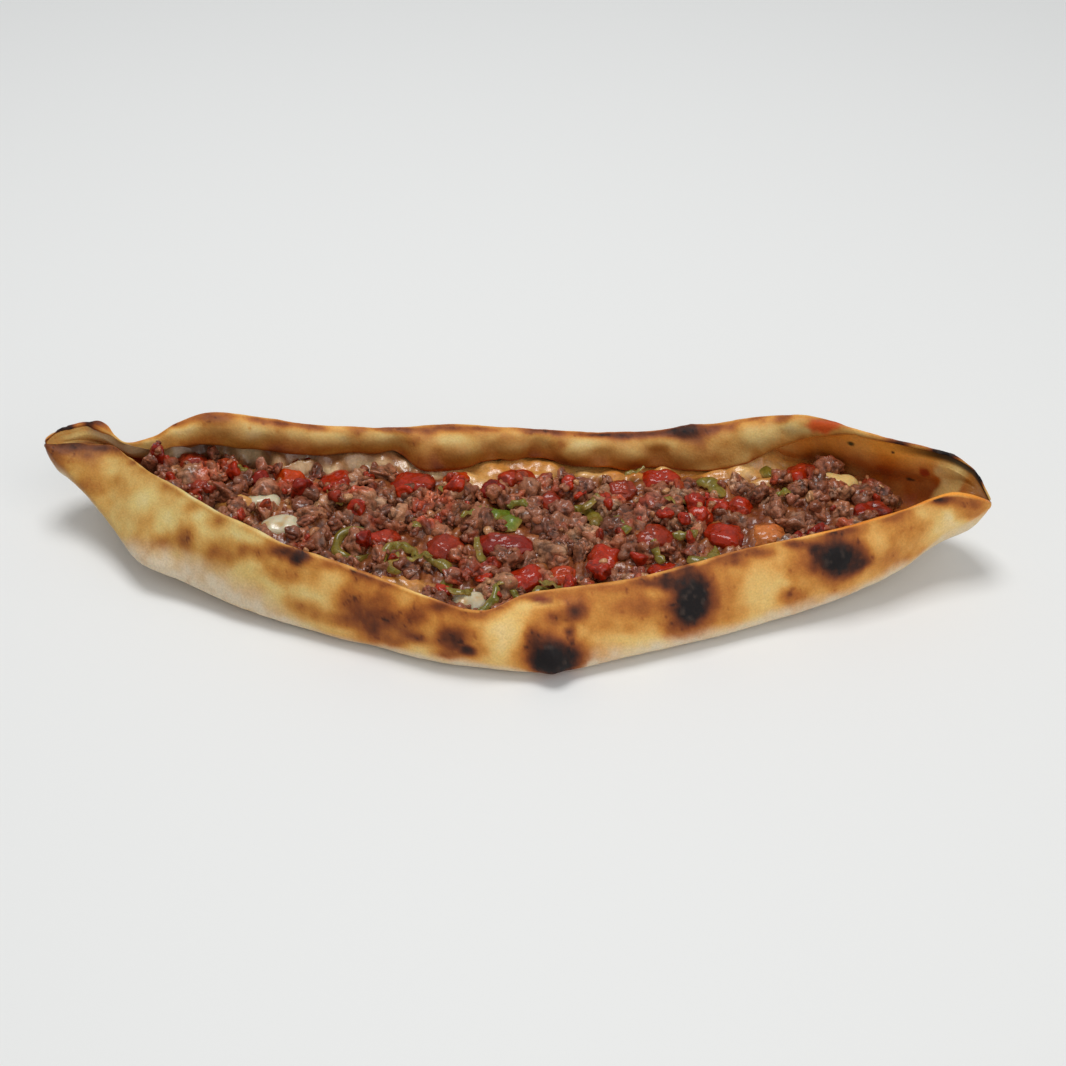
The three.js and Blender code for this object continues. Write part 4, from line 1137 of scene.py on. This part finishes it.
def meat(name, spots, sink, seed, relief):
    """Lumps of meat, sunk into the bed by about a share of their size."""
    drop = np.random.default_rng(seed + 1).uniform(0.5, 1.5, len(spots)) * sink * spots[:, 2]
    heights = filling_top(spots[:, 0], spots[:, 1]) - drop
    shapes, faces, open_share, random = chunks(spots, heights, seed, 4, 9, relief)
    base = picked(MEAT_TINTS, random, len(spots)) * random.uniform(0.75, 1.2, (len(spots), 1, 1))
    # Painted shade: darker in the creases of each lump.
    tint = base * (0.36 + 0.76 * open_share[..., None])
    tint = tinged(tint, (1.25, 1.6, 1.9), smooth(noise(shapes, 3.4, 73), 0.35, 0.8))
    tint = tinged(tint, (1.25, 0.55, 0.4), smooth(layered(shapes, 9, 71), 0.1, 0.6))
    gloss = 0.24 + 0.2 * smooth(noise(shapes, 3, 72), -0.5, 0.5)
    make_piece(name, shapes, faces, meat_material, tint, gloss)
    lay(shapes)


def scraps(name, spots, sink, seed, level, cuts, relief, colours, material, gloss):
    """Small scraps on top of what lies there so far, sunk into it by a share of their size."""
    heights = height_at(spots[:, 0], spots[:, 1]) - sink * spots[:, 2]
    shapes, faces, open_share, random = chunks(spots, heights, seed, level, cuts, relief)
    # Painted shade: darker in the creases of each scrap.
    tint = picked(colours, random, len(spots)) * (0.5 + 0.6 * open_share[..., None])
    make_piece(name, shapes, faces, material, tint, gloss)
    lay(shapes)


large_spots = scatter(81, 148, (8.0, 14.0), spacing=0.60, tries=9000)
meat("meat_chunks", large_spots, sink=0.20, seed=82, relief=1.0)
# The small lumps may lie on the shoulders of the large ones.
taken = [tuple(spot) for spot in large_spots * [1, 1, 0.4]]
small_spots = scatter(83, 145, (4.2, 8.5), spacing=0.64, tries=14000, taken=taken)
meat("meat_bits", small_spots, sink=-0.05, seed=84, relief=1.5)
scraps("tomato_bits", scatter(91, 50, (4.5, 9.5), spacing=0.9), sink=0.28, seed=92, level=4,
       cuts=6, relief=0.5, colours=[RED, DEEP_RED, FADED_RED, BRIGHT_RED, FLESH],
       material=tomato_material, gloss=0.32)
scraps("crumbs", scatter(95, 200, (1.8, 4.4), spacing=0.8, tries=14000), sink=0.46, seed=96,
       level=3, cuts=7, relief=1.2, colours=CRUMB_TINTS, material=meat_material, gloss=0.34)

# ---- floor, light and camera ----
TARGET = Vector((9.7, 24.0, 0.0)) * MM
CAMERA_DISTANCE = 0.720
CAMERA_AZIMUTH = math.radians(2.5)
CAMERA_ELEVATION = math.radians(38)
CAMERA_LENS = 57.48
SENSOR = 36


def make_floor():
    bpy.ops.mesh.primitive_plane_add(size=8)
    floor = bpy.context.object
    floor.name = "floor"
    material = bpy.data.materials.new("pale_floor")
    material.use_nodes = True
    shader = material.node_tree.nodes["Principled BSDF"]
    shader.inputs["Base Color"].default_value = (0.78, 0.77, 0.75, 1)
    shader.inputs["Roughness"].default_value = 0.6
    floor.data.materials.append(material)


def area_light(name, place, size, energy, colour):
    light = bpy.data.lights.new(name, "AREA")
    light.size = size
    light.energy = energy
    light.color = colour
    lamp = bpy.data.objects.new(name, light)
    lamp.location = place
    lamp.rotation_euler = (TARGET - Vector(place)).to_track_quat("-Z", "Y").to_euler()
    bpy.context.scene.collection.objects.link(lamp)


def make_camera():
    camera = bpy.data.objects.new("camera", bpy.data.cameras.new("camera"))
    camera.data.lens = CAMERA_LENS
    camera.data.sensor_width = SENSOR
    camera.data.clip_start = 0.01
    flat = math.cos(CAMERA_ELEVATION)
    back = Vector((math.sin(CAMERA_AZIMUTH) * flat, -math.cos(CAMERA_AZIMUTH) * flat,
                   math.sin(CAMERA_ELEVATION)))
    camera.location = TARGET + back * CAMERA_DISTANCE
    camera.rotation_euler = (-back).to_track_quat("-Z", "Y").to_euler()
    bpy.context.scene.collection.objects.link(camera)
    bpy.context.scene.camera = camera


make_floor()
area_light("window", (-0.12, 0.28, 1.45), 0.6, 12.3, (0.97, 0.99, 1.0))
area_light("fill", (0.85, -1.0, 1.0), 1.4, 8.5, (1.0, 0.98, 0.95))
world = bpy.data.worlds.new("soft_sky")
world.use_nodes = True
sky = world.node_tree.nodes["Background"]
sky.inputs["Color"].default_value = (0.92, 0.96, 1.0, 1)
sky.inputs["Strength"].default_value = 0.42
bpy.context.scene.world = world
bpy.context.scene.view_settings.view_transform = "Standard"
make_camera()
